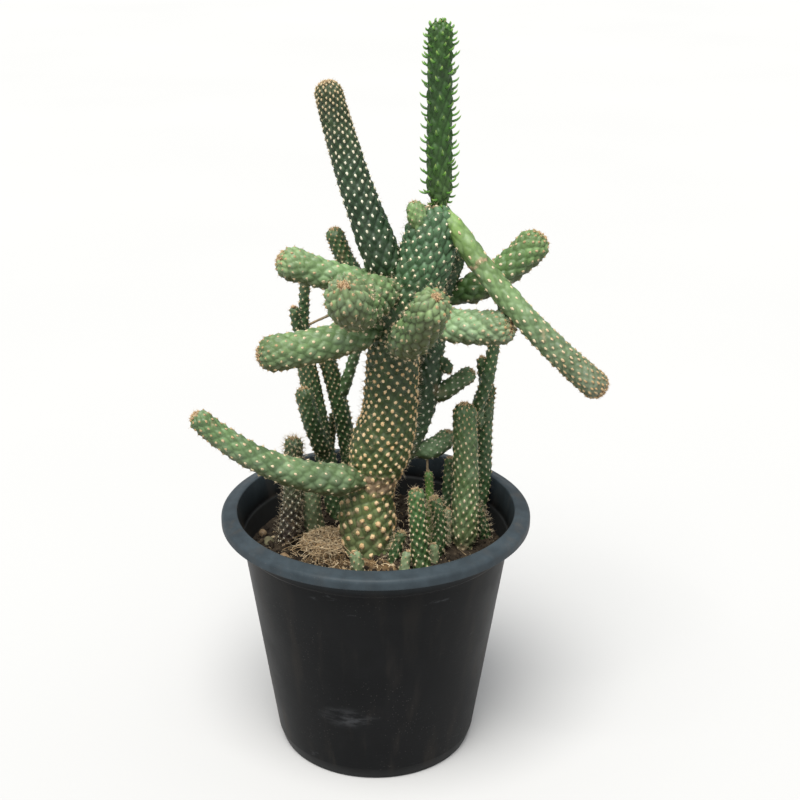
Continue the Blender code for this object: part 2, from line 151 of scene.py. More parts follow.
# Each heading is (degrees round from +X, degrees of lift), evenly spaced along the stem.
# Each girth is the radius at the neck, at the belly and at the tip.
STEMS = (
    branch("rear_column", "dark_skin", "trunk", 0.22, ((30, 40), (50, 86), (-54, 66)),
           0.235, (0.0125, 0.0148, 0.0125), aside=(45, 0.5)),
    # Rooted stems at the back left
    rooted("stem_left_tall", "dark_skin", -0.32, 0.53, ((144, 77), (190, 81)),
           0.175, (0.0086, 0.0096, 0.0085)),
    rooted("stem_left_back", "dark_skin", -0.18, 0.72, ((-159, 86), (-166, 73)),
           0.173, (0.0078, 0.0087, 0.0075)),
    rooted("stem_left_thin", "dark_skin", -0.38, 0.76, ((-20, 98), (-20, 78)),
           0.098, (0.0039, 0.0048, 0.0042)),
    rooted("stem_left_short", "dark_skin", -0.72, 0.03, ((15, 75), (98, 91)),
           0.105, (0.0056, 0.0082, 0.0080)),
    rooted("stem_left_pale", "pale_skin", -0.46, 0.12, ((156, 72), (172, 100)),
           0.063, (0.0072, 0.0088, 0.0082)),
    # Rooted stems at the right and in front
    rooted("stem_right_rear", "dark_skin", 0.79, 0.43, ((29, 72), (145, 100)),
           0.141, (0.0076, 0.0075, 0.0070)),
    rooted("stem_right", "dark_skin", 0.69, -0.03, ((74, 84), (130, 86)),
           0.140, (0.0075, 0.0120, 0.0100)),
    rooted("stem_right_inner", "dark_skin", 0.55, 0.17, ((77, 89), (56, 81)),
           0.079, (0.0046, 0.0046, 0.0042)),
    rooted("stem_front", "dark_skin", 0.36, -0.41, ((157, 83), (141, 86)),
           0.080, (0.0078, 0.0076, 0.0065)),
    rooted("stem_front_inner", "dark_skin", 0.47, -0.12, ((210, 108), (175, 66)),
           0.058, (0.0052, 0.0064, 0.0055)),
    rooted("stem_front_tiny", "leafy_skin", 0.43, 0.05, ((121, 89), (121, 82)),
           0.072, (0.0037, 0.0041, 0.0036)),
    rooted("stem_right_small", "dark_skin", 0.86, 0.17, ((-155, 77), (-162, 64)),
           0.035, (0.0062, 0.0074, 0.0064)),
    rooted("stem_front_stub", "pale_skin", -0.13, -0.44, ((180, 92), (180, 68)),
           0.022, (0.0052, 0.0062, 0.0052)),
    rooted("stem_front_spiky", "dark_skin", 0.13, -0.25, ((28, 74), (20, 66)),
           0.030, (0.0045, 0.0054, 0.0042)),
    rooted("stump_front", "pale_skin", 0.22, -0.49, ((54, 90), (45, 63)),
           0.024, (0.0050, 0.0046, 0.0040)),
    rooted("stump_pale", "pale_skin", 0.45, -0.27, ((92, 79), (92, 73)),
           0.018, (0.0044, 0.0045, 0.0040)),
    rooted("stump_inner", "pale_skin", 0.57, 0.02, ((125, 92), (127, 81)),
           0.037, (0.0036, 0.0045, 0.0038)),
    rooted("dry_stalk", "twig_bark", 0.80, 0.30, ((250, 84), (300, 88)),
           0.038, (0.0010, 0.0011, 0.0009)),
    # Arms of the trunk
    branch("arm_front_left", "arm_skin", "trunk", 0.77, ((-150, 9), (-104, -2), (-101, 62)),
           0.144, (0.0100, 0.0176, 0.0172)),
    branch("arm_tall_left", "dark_skin", "trunk", 0.72, ((177, 66), (158, 75)),
           0.201, (0.0086, 0.0160, 0.0105), aside=(180, 0.1)),
    branch("arm_tall_right", "leafy_skin", "trunk", 0.96, ((96, 82), (105, 90)),
           0.163, (0.0052, 0.0103, 0.0095), aside=(20, 0.4)),
    branch("arm_drooping", "arm_skin", "trunk", 0.985, ((-36, -50), (-7, -38)),
           0.203, (0.0052, 0.0085, 0.0118), aside=(-10, 0.8)),
    branch("arm_right_lower", "arm_skin", "trunk", 0.69, ((-2, -13), (-43, 17)),
           0.103, (0.0086, 0.0142, 0.0142)),
    branch("arm_front_right", "arm_skin", "trunk", 0.61, ((-75, 16), (-66, 56)),
           0.128, (0.0125, 0.0164, 0.0150)),
    branch("arm_left_middle", "arm_skin", "trunk", 0.69, ((-149, -15), (-168, -2)),
           0.132, (0.0078, 0.0140, 0.0150)),
    branch("arm_left_upper", "arm_skin", "trunk", 0.79, ((171, -7), (196, 29)),
           0.122, (0.0065, 0.0100, 0.0145)),
    branch("arm_left_rear", "dark_skin", "trunk", 0.66, ((135, 26), (182, 76)),
           0.106, (0.0060, 0.0079, 0.0075)),
    branch("arm_left_low", "arm_skin", "trunk", 0.22, ((-132, 8), (-179, 47)),
           0.195, (0.0098, 0.0142, 0.0088)),
    branch("bud_top_left", "arm_skin", "trunk", 0.89, ((-127, 58), (-154, 78)),
           0.046, (0.0075, 0.0080, 0.0062)),
    branch("bud_rear_left", "dark_skin", "trunk", 0.61, ((145, -26), (137, 37)),
           0.041, (0.0044, 0.0053, 0.0045)),
    # Arms of the rear column
    branch("arm_right_upper", "arm_skin", "rear_column", 0.73, ((-4, 16), (15, 51)),
           0.104, (0.0080, 0.0125, 0.0145), aside=(0, 0.5)),
    branch("arm_rear_right", "arm_skin", "rear_column", 0.29, ((10, 32), (-12, 41)),
           0.061, (0.0046, 0.0080, 0.0075)),
    branch("arm_rear_low", "arm_skin", "rear_column", 0.17, ((-19, -67), (29, 2), (-5, 77)),
           0.054, (0.0075, 0.0092, 0.0085)),
    branch("bud_rear_right", "dark_skin", "rear_column", 0.50, ((-20, 5), (-35, -70)),
           0.027, (0.0046, 0.0054, 0.0042)),
    # Side shoots of the rooted stems
    branch("stem_left_tall_top", "dark_skin", "stem_left_tall", 0.94, ((-2, 92), (-2, 85)),
           0.076, (0.0040, 0.0047, 0.0044)),
    branch("stem_left_side", "dark_skin", "stem_left_tall", 0.34, ((-114, 59), (-156, 80)),
           0.086, (0.0064, 0.0084, 0.0076)),
    branch("bud_left_tall", "dark_skin", "stem_left_tall_top", 0.20, ((-135, 52), (-115, 88)),
           0.038, (0.0037, 0.0043, 0.0040)),
    branch("twig_left", "twig_bark", "stem_left_tall_top", 0.36, ((-8, 30), (-4, 26)),
           0.028, (0.0014, 0.0015, 0.0012)),
    branch("stem_left_back_branch", "dark_skin", "stem_left_back", 0.65, ((-41, 68), (-14, 75)),
           0.073, (0.0039, 0.0056, 0.0044)),
    branch("stem_right_rear_top", "dark_skin", "stem_right_rear", 0.64,
           ((-157, 52), (29, 81), (-15, 76)), 0.158, (0.0034, 0.0062, 0.0044)),
    branch("bud_right_rear", "dark_skin", "stem_right_rear", 0.94, ((-109, 44), (-130, 91)),
           0.044, (0.0037, 0.0043, 0.0040)),
    branch("aerial_root", "twig_bark", "arm_rear_low", 0.45, ((-60, -80), (-100, -86)),
           0.030, (0.0011, 0.0010, 0.0008)),
)

# Trunk outline: share of the height, share of the lean, share of TRUNK_RADIUS
TRUNK_STATIONS = (
    (0.00, 0.00, 1.00),
    (0.10, -0.01, 1.02),
    (0.21, 0.08, 0.83),
    (0.27, 0.16, 1.01),
    (0.335, 0.25, 1.07),
    (0.40, 0.35, 0.98),
    (0.50, 0.39, 0.92),
    (0.67, 0.50, 0.91),
    (0.80, 0.80, 0.94),
    (0.90, 0.98, 0.90),
    (0.96, 1.01, 0.76),
    (0.99, 1.01, 0.54),
    (1.00, 1.00, 0.30),
)

# Stones on the soil: shares of the soil's radius to the right and back, and half lengths
STONES = (
    ("stone_left", -0.85, 0.07, (0.0075, 0.0056, 0.0046)),
    ("stone_left_edge", -0.91, 0.22, (0.0050, 0.0042, 0.0040)),
    ("stone_left_front", -0.71, -0.18, (0.0054, 0.0046, 0.0036)),
)


# ---------------------------------------------------------------- growing the lines


def soil_height():
    """Height of the flat soil that the CAD has."""
    return POT_HEIGHT - HEADSPACE


def mouth_radius():
    """Radius of the pot's opening."""
    return RIM_RADIUS - LIP_REACH


def step_height():
    """Height of the step under the collar."""
    return POT_HEIGHT - COLLAR_DEPTH


def wall_radius(height):
    """Outer radius of the pot's side below the step."""
    top = mouth_radius() - COLLAR_FLARE - STEP + WALL
    share = (height - FOOT_HEIGHT) / (step_height() - FOOT_HEIGHT)
    return FOOT_RADIUS + share * (top - FOOT_RADIUS)


def soil_radius():
    """Radius of the soil at its top."""
    return wall_radius(soil_height()) - WALL - SOIL_GAP


def direction(around, lift):
    """The way that degrees round from +X and degrees of lift point."""
    around, lift = np.radians(around), np.radians(lift)
    return np.array([np.cos(lift) * np.cos(around), np.cos(lift) * np.sin(around), np.sin(lift)])


def heading_at(headings, share):
    """Degrees round and of lift at a share of the length."""
    place = share * (len(headings) - 1)
    first = min(int(place), len(headings) - 2)
    blend = place - first
    return [a + (b - a) * blend for a, b in zip(headings[first], headings[first + 1])]


def eased(share):
    """A share from 0 to 1, slowed at both ends."""
    share = np.clip(share, 0.0, 1.0)
    return share * share * (3.0 - 2.0 * share)


def girth_at(stem, distance, neck_run):
    """Radius at a distance from the start, before the rounded end."""
    neck, belly, tip = stem.girth
    swell_run = min(SWELL_RUN * belly, 0.5 * (stem.length - neck_run))
    if distance < neck_run + swell_run:
        return neck + (belly - neck) * eased((distance - neck_run) / swell_run)
    share = (distance - neck_run - swell_run) / (stem.length - neck_run - swell_run)
    return belly + (tip - belly) * share


def travel_along(points):
    """How far along a line each of its points is."""
    steps = np.linalg.norm(np.diff(points, axis=0), axis=1)
    return np.concatenate([[0.0], np.cumsum(steps)])


def at(place, travel, values):
    """A row of values at a place along a line, or several rows at several places."""
    columns = [np.interp(place, travel, column) for column in values.T]
    return np.stack(columns, axis=-1)


def start_of(stem, grown):
    """Where a stem's line starts, and how far it stays at its neck's girth."""
    if stem.root is None:
        east, north = stem.along
        return np.array([east * soil_radius(), north * soil_radius(), soil_height()]), 0.0
    root = grown[stem.root]
    points, radii = root.points[root.buried:], root.radii[root.buried:]
    travel = travel_along(points)
    place = stem.along * travel[-1]
    radius = np.interp(place, travel, radii)
    around, share = stem.aside
    return at(place, travel, points) + share * radius * direction(around, 0), (1 - share) * radius


def grow(stem, grown):
    """A stem's centre line and its radius at each point, as part.py grows it but finer."""
    start, neck_run = start_of(stem, grown)
    dome = DOME * stem.girth[2]
    body = stem.length - dome
    places = np.concatenate([
        np.linspace(0.0, body, math.ceil(body / 0.001), endpoint=False),
        body + dome * np.sin(np.linspace(0.0, 0.5 * math.pi, 40))])
    points, radii = [start], [girth_at(stem, 0.0, neck_run)]
    for here, there in zip(places, places[1:]):
        step = direction(*heading_at(stem.headings, 0.5 * (here + there) / stem.length))
        into = max(0.0, there - body) / dome
        points.append(points[-1] + step * (there - here))
        radii.append(girth_at(stem, there, neck_run) * math.sqrt(max(0.0, 1.0 - into * into)))
    if stem.root is not None:
        return Line(stem, np.array(points), np.array(radii), 0)
    down = start - ROOT_DEPTH * direction(*stem.headings[0])
    return Line(stem, np.array([down] + points), np.array([stem.girth[0]] + radii), 1)


def smooth_curve(x, knots, values):
    """Values at x on a smooth curve through the knots."""
    slopes = np.gradient(values, knots)
    i = np.clip(np.searchsorted(knots, x) - 1, 0, len(knots) - 2)
    run = knots[i + 1] - knots[i]
    t = (x - knots[i]) / run
    start = (1 + 2 * t) * (1 - t) ** 2 * values[i] + t * (1 - t) ** 2 * run * slopes[i]
    return start + t * t * (3 - 2 * t) * values[i + 1] - t * t * (1 - t) * run * slopes[i + 1]


def grow_trunk():
    """The trunk's line, through its stations."""
    heights, leans, girths = np.array(TRUNK_STATIONS).T
    x = np.linspace(0.0, 1.0, 500)
    lean, girth = smooth_curve(x, heights, leans), smooth_curve(x, heights, girths)
    points = np.stack([TRUNK_BASE_X + lean * TRUNK_LEAN, 0 * x,
                       soil_height() + x * TRUNK_HEIGHT], axis=1)
    foot = points[0] - [0.0, 0.0, TRUNK_ROOT_DEPTH]
    crown = points[-1] + [0.0, 0.0, 0.0006]
    radii = np.concatenate([[TRUNK_RADIUS], girth * TRUNK_RADIUS, [0.0]])
    stem = Stem("trunk", "trunk_skin", None, None, None, None, TRUNK_HEIGHT, (TRUNK_RADIUS,) * 3)
    return Line(stem, np.vstack([foot, points, crown]), radii, 1)


# ---------------------------------------------------------------- noise and meshes


def hashed(cells, seed):
    """A number from 0 to 1 for each whole-numbered cell."""
    x, y, z = (cells & 0xFFFFFFFF).astype(np.uint64).T
    mixed = (x * 374761393 + y * 668265263 + z * 2246822519 + seed * 3266489917) & 0xFFFFFFFF
    mixed = ((mixed ^ (mixed >> 13)) * 1274126177) & 0xFFFFFFFF
    return (mixed ^ (mixed >> 16)) / 4294967295.0


def chance(numbers, seed):
    """A number from 0 to 1 for each whole number."""
    return hashed(np.repeat(numbers[:, None], 3, axis=1).astype(np.int64), seed)


def noise(points, size, seed=0):
    """Smooth noise from -1 to 1, whose lumps are about size across."""
    scaled = np.asarray(points) / size
    cell = np.floor(scaled).astype(np.int64)
    part = scaled - cell
    part = part * part * (3.0 - 2.0 * part)
    total = np.zeros(len(scaled))
    for corner in itertools.product((0, 1), repeat=3):
        weight = np.prod(np.where(corner, part, 1.0 - part), axis=1)
        total += weight * hashed(cell + corner, seed)
    return 2.0 * total - 1.0


def rough(points, size, seed=0):
    """Noise with two finer layers added."""
    return (noise(points, size, seed) + 0.5 * noise(points, size / 2.1, seed + 1)
            + 0.25 * noise(points, size / 4.3, seed + 2)) / 1.75


def add_values(mesh, values):
    """Named numbers for the mesh to carry at each point."""
    for key, numbers in values.items():
        layer = mesh.attributes.new(key, "FLOAT", "POINT")
        layer.data.foreach_set("value", np.asarray(numbers, np.float32))


def add_mesh(name, points, faces, material, values=None):
    """A smooth-shaded object of points, groups of equal-sided faces and per-point values."""
    mesh = bpy.data.meshes.new(name)
    corners = np.concatenate([group.ravel() for group in faces]).astype(np.int32)
    sizes = np.concatenate([np.full(len(group), group.shape[1]) for group in faces])
    starts = (np.cumsum(sizes) - sizes).astype(np.int32)
    mesh.vertices.add(len(points))
    mesh.vertices.foreach_set("co", np.asarray(points, np.float32).ravel())
    mesh.loops.add(len(corners))
    mesh.loops.foreach_set("vertex_index", corners)
    mesh.polygons.add(len(sizes))
    mesh.polygons.foreach_set("loop_start", starts)
    mesh.polygons.foreach_set("use_smooth", np.ones(len(sizes), bool))
    mesh.update(calc_edges=True)
    add_values(mesh, values or {})
    mesh.materials.append(material)
    obj = bpy.data.objects.new(name, mesh)
    bpy.context.scene.collection.objects.link(obj)
    return obj


def place_piece(obj, slot, *nodes):
    """The piece moves with the one body and stands for those nodes; slot is not used."""
    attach(obj, "root")
    if nodes:
        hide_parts(*nodes)


def turns_round(count):
    """Even angles round a full turn."""
    return np.linspace(0.0, 2.0 * math.pi, count, endpoint=False)


def random_turns(draws, count):
    """Angles anywhere round a full turn."""
    return 2.0 * math.pi * draws.random(count)


def rings_of(radii, heights, turns):
    """Points of a turned shape, ring after ring."""
    heights = np.repeat(np.array(heights)[:, None], len(turns), axis=1)
    return np.stack([np.outer(radii, np.cos(turns)), np.outer(radii, np.sin(turns)), heights],
                    axis=-1).reshape(-1, 3)


def swung(x, y, angle):
    """Places turned about the origin."""
    return x * math.cos(angle) - y * math.sin(angle), x * math.sin(angle) + y * math.cos(angle)


def ring_faces(rows, columns):
    """Quads between rows of a closed grid."""
    row, column = np.meshgrid(np.arange(rows - 1), np.arange(columns), indexing="ij")
    here = row * columns + column
    beside = row * columns + (column + 1) % columns
    return np.stack([here, beside, beside + columns, here + columns], axis=-1).reshape(-1, 4)


def fan_faces(first, columns, hub, outward):
    """Triangles from a ring of points to one hub point."""
    here = first + np.arange(columns)
    beside = first + (np.arange(columns) + 1) % columns
    pair = (here, beside) if outward else (beside, here)
    return np.stack([*pair, np.full(columns, hub)], axis=-1)


def merged(parts):
    """Several (points, faces, values) as one."""
    points, faces, values, count = [], [], {}, 0
    for part_points, part_faces, part_values in parts:
        faces += [group + count for group in part_faces]
        points.append(part_points)
        for key, numbers in part_values.items():
            values.setdefault(key, []).append(numbers)
        count += len(part_points)
    return (np.concatenate(points), faces,
            {key: np.concatenate(numbers) for key, numbers in values.items()})


def unit(vectors):
    """The vectors, each made one long."""
    return vectors / np.maximum(np.linalg.norm(vectors, axis=-1, keepdims=True), 1e-12)


def across(vectors):
    """A direction square to each of some unit vectors."""
    helper = np.where(np.abs(vectors[..., 2:]) < 0.9, [0.0, 0.0, 1.0], [1.0, 0.0, 0.0])
    return unit(np.cross(vectors, helper))


# ---------------------------------------------------------------- skins


def make_skin(line):
    """Even rows over a stem, from its foot to its tip, with a frame that doesn't twist."""
    steps = np.hypot(np.linalg.norm(np.diff(line.points, axis=0), axis=1), np.diff(line.radii))
    travel = np.concatenate([[0.0], np.cumsum(steps)])
    tangents = unit(np.gradient(line.points, axis=0))
    side = across(tangents[:1])[0]
    sides = []
    for tangent in tangents:
        side = side - tangent * side.dot(tangent)
        side = side / np.linalg.norm(side)
        sides.append(side)
    leans = np.clip(-np.gradient(line.radii, travel), -1.0, 1.0)
    places = np.linspace(0.0, travel[-1], math.ceil(travel[-1] / SKIN_CELL) + 1)
    tangents = unit(at(places, travel, tangents))
    sides = at(places, travel, np.array(sides))
    sides = unit(sides - tangents * np.sum(sides * tangents, axis=1, keepdims=True))
    return Skin(line, places, at(places, travel, line.points), sides, np.cross(tangents, sides),
                tangents, np.interp(places, travel, line.radii), np.interp(places, travel, leans))


def on_skin(skin, angles, places):
    """Points on a skin, the way out from each and the way along it to the tip."""
    parts = np.hstack([skin.centres, skin.sides, skin.fronts, skin.tangents,
                       skin.radii[:, None], skin.leans[:, None]])
    rows = at(places, skin.places, parts)
    centre, side, front, tangent = rows[:, 0:3], rows[:, 3:6], rows[:, 6:9], rows[:, 9:12]
    radius, lean = rows[:, 12:13], rows[:, 13:14]
    radial = np.cos(angles)[:, None] * side + np.sin(angles)[:, None] * front
    upright = np.sqrt(1.0 - np.clip(lean, -1.0, 1.0) ** 2)
    return (centre + radial * radius, unit(radial * upright + tangent * lean),
            unit(tangent * upright - radial * lean))


def profile_at(values, share):
    """The value at a share of the length, from values at even steps."""
    return np.interp(share, np.linspace(0.0, 1.0, len(values)), values)


def spacing_at(look, share):
    """Metres between areoles at a share of the length."""
    return 0.001 * profile_at(look.spacing, share)


def areole_spots(skin, look):
    """Angle and place of each areole, one after another round a spiral from foot to tip."""
    end = skin.places[-1]
    spots, place = [], 0.3 * spacing_at(look, 0.0)
    while place < end - 0.15 * spacing_at(look, 1.0):
        spots.append((2.0 * math.pi * GOLDEN_TURN * len(spots), place))
        spacing = spacing_at(look, place / end)
        radius = max(np.interp(place, skin.places, skin.radii), 0.3 * spacing)
        place += CELL_SHARE * spacing * spacing / (2.0 * math.pi * radius)
    angles, places = np.array(spots).T
    number = np.arange(len(spots))
    spacing = spacing_at(look, places / end)
    girth = np.maximum(np.interp(places, skin.places, skin.radii), spacing)
    angles += SPOT_DRIFT * (chance(number, 5) - 0.5) * spacing / girth
    places = np.clip(places + SPOT_DRIFT * (chance(number, 6) - 0.5) * spacing, 0.0, end)
    order = np.argsort(places)
    return angles[order], places[order]


def warts(skin, look, spots, columns):
    """For each row and column: how far from a furrow, how near a crest, and which wart.

    Distances are measured between points on the plain skin, shorter along it than across it
    where the warts are long.
    """
    middles, _, _ = on_skin(skin, *spots)
    angles = turns_round(columns)
    plateau, hill, shift, which = (np.zeros((len(skin.places), columns)) for _ in range(4))
    for row, place in enumerate(skin.places):
        spacing = spacing_at(look, place / skin.places[-1])
        stretch = profile_at(look.stretch, place / skin.places[-1])
        window = 2.1 * spacing * math.sqrt(stretch)
        low, high = np.searchsorted(spots[1], [place - window, place + window])
        low, high = max(0, min(low, len(spots[1]) - 2)), max(high, low + 2, 2)
        points, _, onward = on_skin(skin, angles, np.full(columns, place))
        gaps = points[:, None, :] - middles[None, low:high, :]
        ahead = np.einsum("ijk,ik->ij", gaps, onward)
        square = np.einsum("ijk,ijk->ij", gaps, gaps) * stretch
        square += ahead ** 2 * (1.0 / stretch - stretch)
        order = np.argsort(square, axis=1)
        near = np.sqrt(np.take_along_axis(square, order[:, :2], axis=1)) / spacing
        rise = np.clip((near[:, 1] - near[:, 0]) / FURROW_RUN, 0.0, 1.0)
        plateau[row] = 1.0 - (1.0 - rise) ** 2
        hill[row] = 1.0 - np.clip(near[:, 0] / CREST_RUN, 0.0, 1.0) ** 2
        shift[row] = np.take_along_axis(ahead, order[:, :1], axis=1)[:, 0] / spacing
        which[row] = low + order[:, 0]
    return plateau, hill, shift, which


def band_strength(bands, share):
    """The strongest of some bands, each (share of the length, half width, strength)."""
    total = np.zeros_like(share)
    for middle, half_width, strength in bands:
        total = np.maximum(total, strength * np.exp(-((share - middle) / half_width) ** 2))
    return total


def skin_mesh(skin, look, spots, material):
    """A stem's warty skin, closed at both ends."""
    columns = max(16, math.ceil(2.0 * math.pi * skin.radii.max() / SKIN_CELL))
    rows = len(skin.places) - 1
    plateau, hill, shift, which = (part[:rows].ravel()
                                   for part in warts(skin, look, spots, columns))
    angles = np.tile(turns_round(columns), rows)
    places = np.repeat(skin.places[:rows], columns)
    share = places / skin.places[-1]
    points, normals, _ = on_skin(skin, angles, places)
    height = PLATEAU_RISE * plateau + CREST_RISE * hill - PLATEAU_RISE
    height += look.overlap * shift * plateau
    height = 0.001 * profile_at(look.relief, share) * height + 0.00035 * noise(points, 0.005, 3)
    height += 0.0005 * noise(points, 0.02, 4)
    hubs = np.array([skin.centres[0], skin.centres[-1]])
    # under marks where painted shade falls on the undersides, and furrow marks where it falls in
    # the furrows.
    values = {"furrow": 1.0 - plateau, "crest": hill, "share": share,
              "cork": band_strength(look.cork, share), "wart": chance(which, 9),
              "under": np.clip(-normals[:, 2], 0.0, 1.0)}
    values = {key: np.append(numbers, [numbers[0], numbers[-1]])
              for key, numbers in values.items()}
    points = np.vstack([points + normals * height[:, None], hubs])
    faces = [ring_faces(rows, columns), fan_faces(0, columns, rows * columns, False),
             fan_faces((rows - 1) * columns, columns, rows * columns + 1, True)]
    return add_mesh(f"{skin.line.stem.name}_skin", points, faces, material, values)


def shown_spots(skin, look, spots):
    """The areoles that are outside the soil and outside the stem that this one grows from."""
    stem = skin.line.stem
    hidden = 0.0 if stem.root is None else 0.8 * start_of(stem, LINES)[1]
    angles, places = spots
    points, normals, onward = on_skin(skin, angles, places)
    keep = (places > hidden) & (points[:, 2] > soil_height() + 0.002)
    shares = places / skin.places[-1]
    points = points + onward * (0.1 * spacing_at(look, shares))[:, None]
    points += normals * (0.00042 * profile_at(look.relief, shares))[:, None]
    return points[keep], normals[keep], onward[keep], shares[keep]


def frames_of(normals, onward):
    """Three axes at each areole: across the stem, along it and out of it."""
    return np.stack([np.cross(onward, normals), onward, normals], axis=1)


def wool_cushions(points, frames, radii, stretch, shares, draws):
    """A small woolly dome at each point."""
    shape = [(ring * math.cos(turn), stretch * ring * math.sin(turn), height)
             for ring, height in WOOL_RINGS for turn in turns_round(WOOL_SIDES)]
    shape = np.array(shape + [(0.0, 0.0, WOOL_TOP), (0.0, 0.0, WOOL_RINGS[0][1])])
    count, size = len(points), len(shape)
    lumps = 1.0 + 0.16 * draws.standard_normal((count, size, 1))
    local = shape[None] * radii[:, None, None] * lumps
    world = points[:, None] + np.einsum("nij,njk->nik", local, frames)
    last = (len(WOOL_RINGS) - 1) * WOOL_SIDES
    faces = [ring_faces(len(WOOL_RINGS), WOOL_SIDES), fan_faces(last, WOOL_SIDES, size - 2, True),
             fan_faces(0, WOOL_SIDES, size - 1, False)]
    tone = np.repeat(draws.random(count), size)
    high = np.tile(np.clip(shape[:, 2], 0.0, 1.0), count)
    return (world.reshape(-1, 3), copies_of(faces, count, size),
            {"tone": tone, "high": high, "share": np.repeat(shares, size)})


def copies_of(faces, count, size):
    """The same faces for many copies of a shape that has that number of points."""
    starts = np.arange(count)[:, None, None] * size
    return [(group[None] + starts).reshape(-1, group.shape[1]) for group in faces]


def needles(points, ways, lengths, radius, draws):
    """Thin three-sided spines that bend a little."""
    sideways = across(ways)
    other = np.cross(ways, sideways)
    bend = 0.12 * draws.standard_normal((len(points), 2))
    rings = []
    for share, width in ((-0.05, 1.0), (0.5, 0.75)):
        middle = points + ways * (share * lengths)[:, None]
        for turn in turns_round(3):
            outward = math.cos(turn) * sideways + math.sin(turn) * other
            rings.append(middle + width * radius * outward)
    ends = points + (ways + bend[:, :1] * sideways + bend[:, 1:] * other) * lengths[:, None]
    world = np.stack(rings + [ends], axis=1)
    faces = [ring_faces(2, 3), fan_faces(3, 3, 6, True), np.array([[0, 2, 1]])]
    high = np.tile([0.0, 0.0, 0.0, 0.5, 0.5, 0.5, 1.0], len(points))
    tone = np.repeat(draws.random(len(points)), 7)
    return world.reshape(-1, 3), copies_of(faces, len(points), 7), {"tone": tone, "high": high}


def spine_clusters(points, normals, onward, look, draws):
    """Several spines out of each areole, spread like a star."""
    count = look.spines
    points = np.repeat(points, count, axis=0)
    normals, onward = np.repeat(normals, count, axis=0), np.repeat(onward, count, axis=0)
    turns = random_turns(draws, len(points))
    spread = (0.35 + 0.9 * draws.random(len(points)))[:, None]
    sideways = np.cross(onward, normals)
    ways = unit(normals + spread * (np.cos(turns)[:, None] * sideways
                                    + np.sin(turns)[:, None] * onward))
    lengths = 0.001 * look.spine_length * (0.45 + 0.8 * draws.random(len(points)) ** 2)
    return needles(points, ways, lengths, SPINE_RADIUS, draws)


def tip_tuft(skin, look, draws):
    """Short bristles that stand close together on a stem's growing point."""
    end = skin.places[-1]
    radius = look.tuft_width * skin.line.stem.girth[2]
    places = end - radius * np.sqrt(draws.random(look.tuft))
    points, normals, _ = on_skin(skin, random_turns(draws, look.tuft), places)
    ways = unit(normals + 0.5 * draws.standard_normal(points.shape))
    lengths = 0.001 * (1.2 + 2.2 * draws.random(look.tuft))
    return needles(points - normals * 0.0004, ways, lengths, BRISTLE_RADIUS, draws)


def leaves(points, normals, onward, shares, draws):
    """Awl-shaped leaves that curve up towards the stem's tip."""
    count = len(points)
    growth = np.interp(shares, [0, 0.15, 0.8, 1], [0.45, 1.0, 0.9, 0.32])
    lengths = LEAF_LENGTH * (0.75 + 0.4 * draws.random(count)) * growth
    sideways = np.cross(onward, normals)
    upward = unit(onward - 0.6 * normals)
    sway = 0.18 * draws.standard_normal((count, 1))
    rings = []
    for ring in range(LEAF_RINGS):
        share = ring / (LEAF_RINGS - 1)
        out, up = math.sin(1.25 * share), 0.15 * share + 0.45 * share * share
        bend = normals * out * 0.85 + onward * up + sideways * sway * share
        middle = points + bend * lengths[:, None]
        width = LEAF_RADIUS * math.sqrt(max(0.0, 1.0 - share ** 1.6)) + 0.00012
        for turn in turns_round(LEAF_SIDES):
            outward = math.cos(turn) * sideways + 0.8 * math.sin(turn) * upward
            rings.append(middle + width * outward)
    tip = points + (normals * 0.82 + onward * 0.64 + sideways * sway) * lengths[:, None]
    world = np.stack(rings + [points - normals * 0.001, tip], axis=1)
    size = LEAF_SIDES * LEAF_RINGS + 2
    faces = [ring_faces(LEAF_RINGS, LEAF_SIDES), fan_faces(0, LEAF_SIDES, size - 2, False),
             fan_faces((LEAF_RINGS - 1) * LEAF_SIDES, LEAF_SIDES, size - 1, True)]
    high = np.tile(np.append(np.repeat(np.linspace(0, 1, LEAF_RINGS), LEAF_SIDES), [0, 1]), count)
    tone = np.repeat(draws.random(count), size)
    return world.reshape(-1, 3), copies_of(faces, count, size), {"tone": tone, "high": high}


# ---------------------------------------------------------------- materials


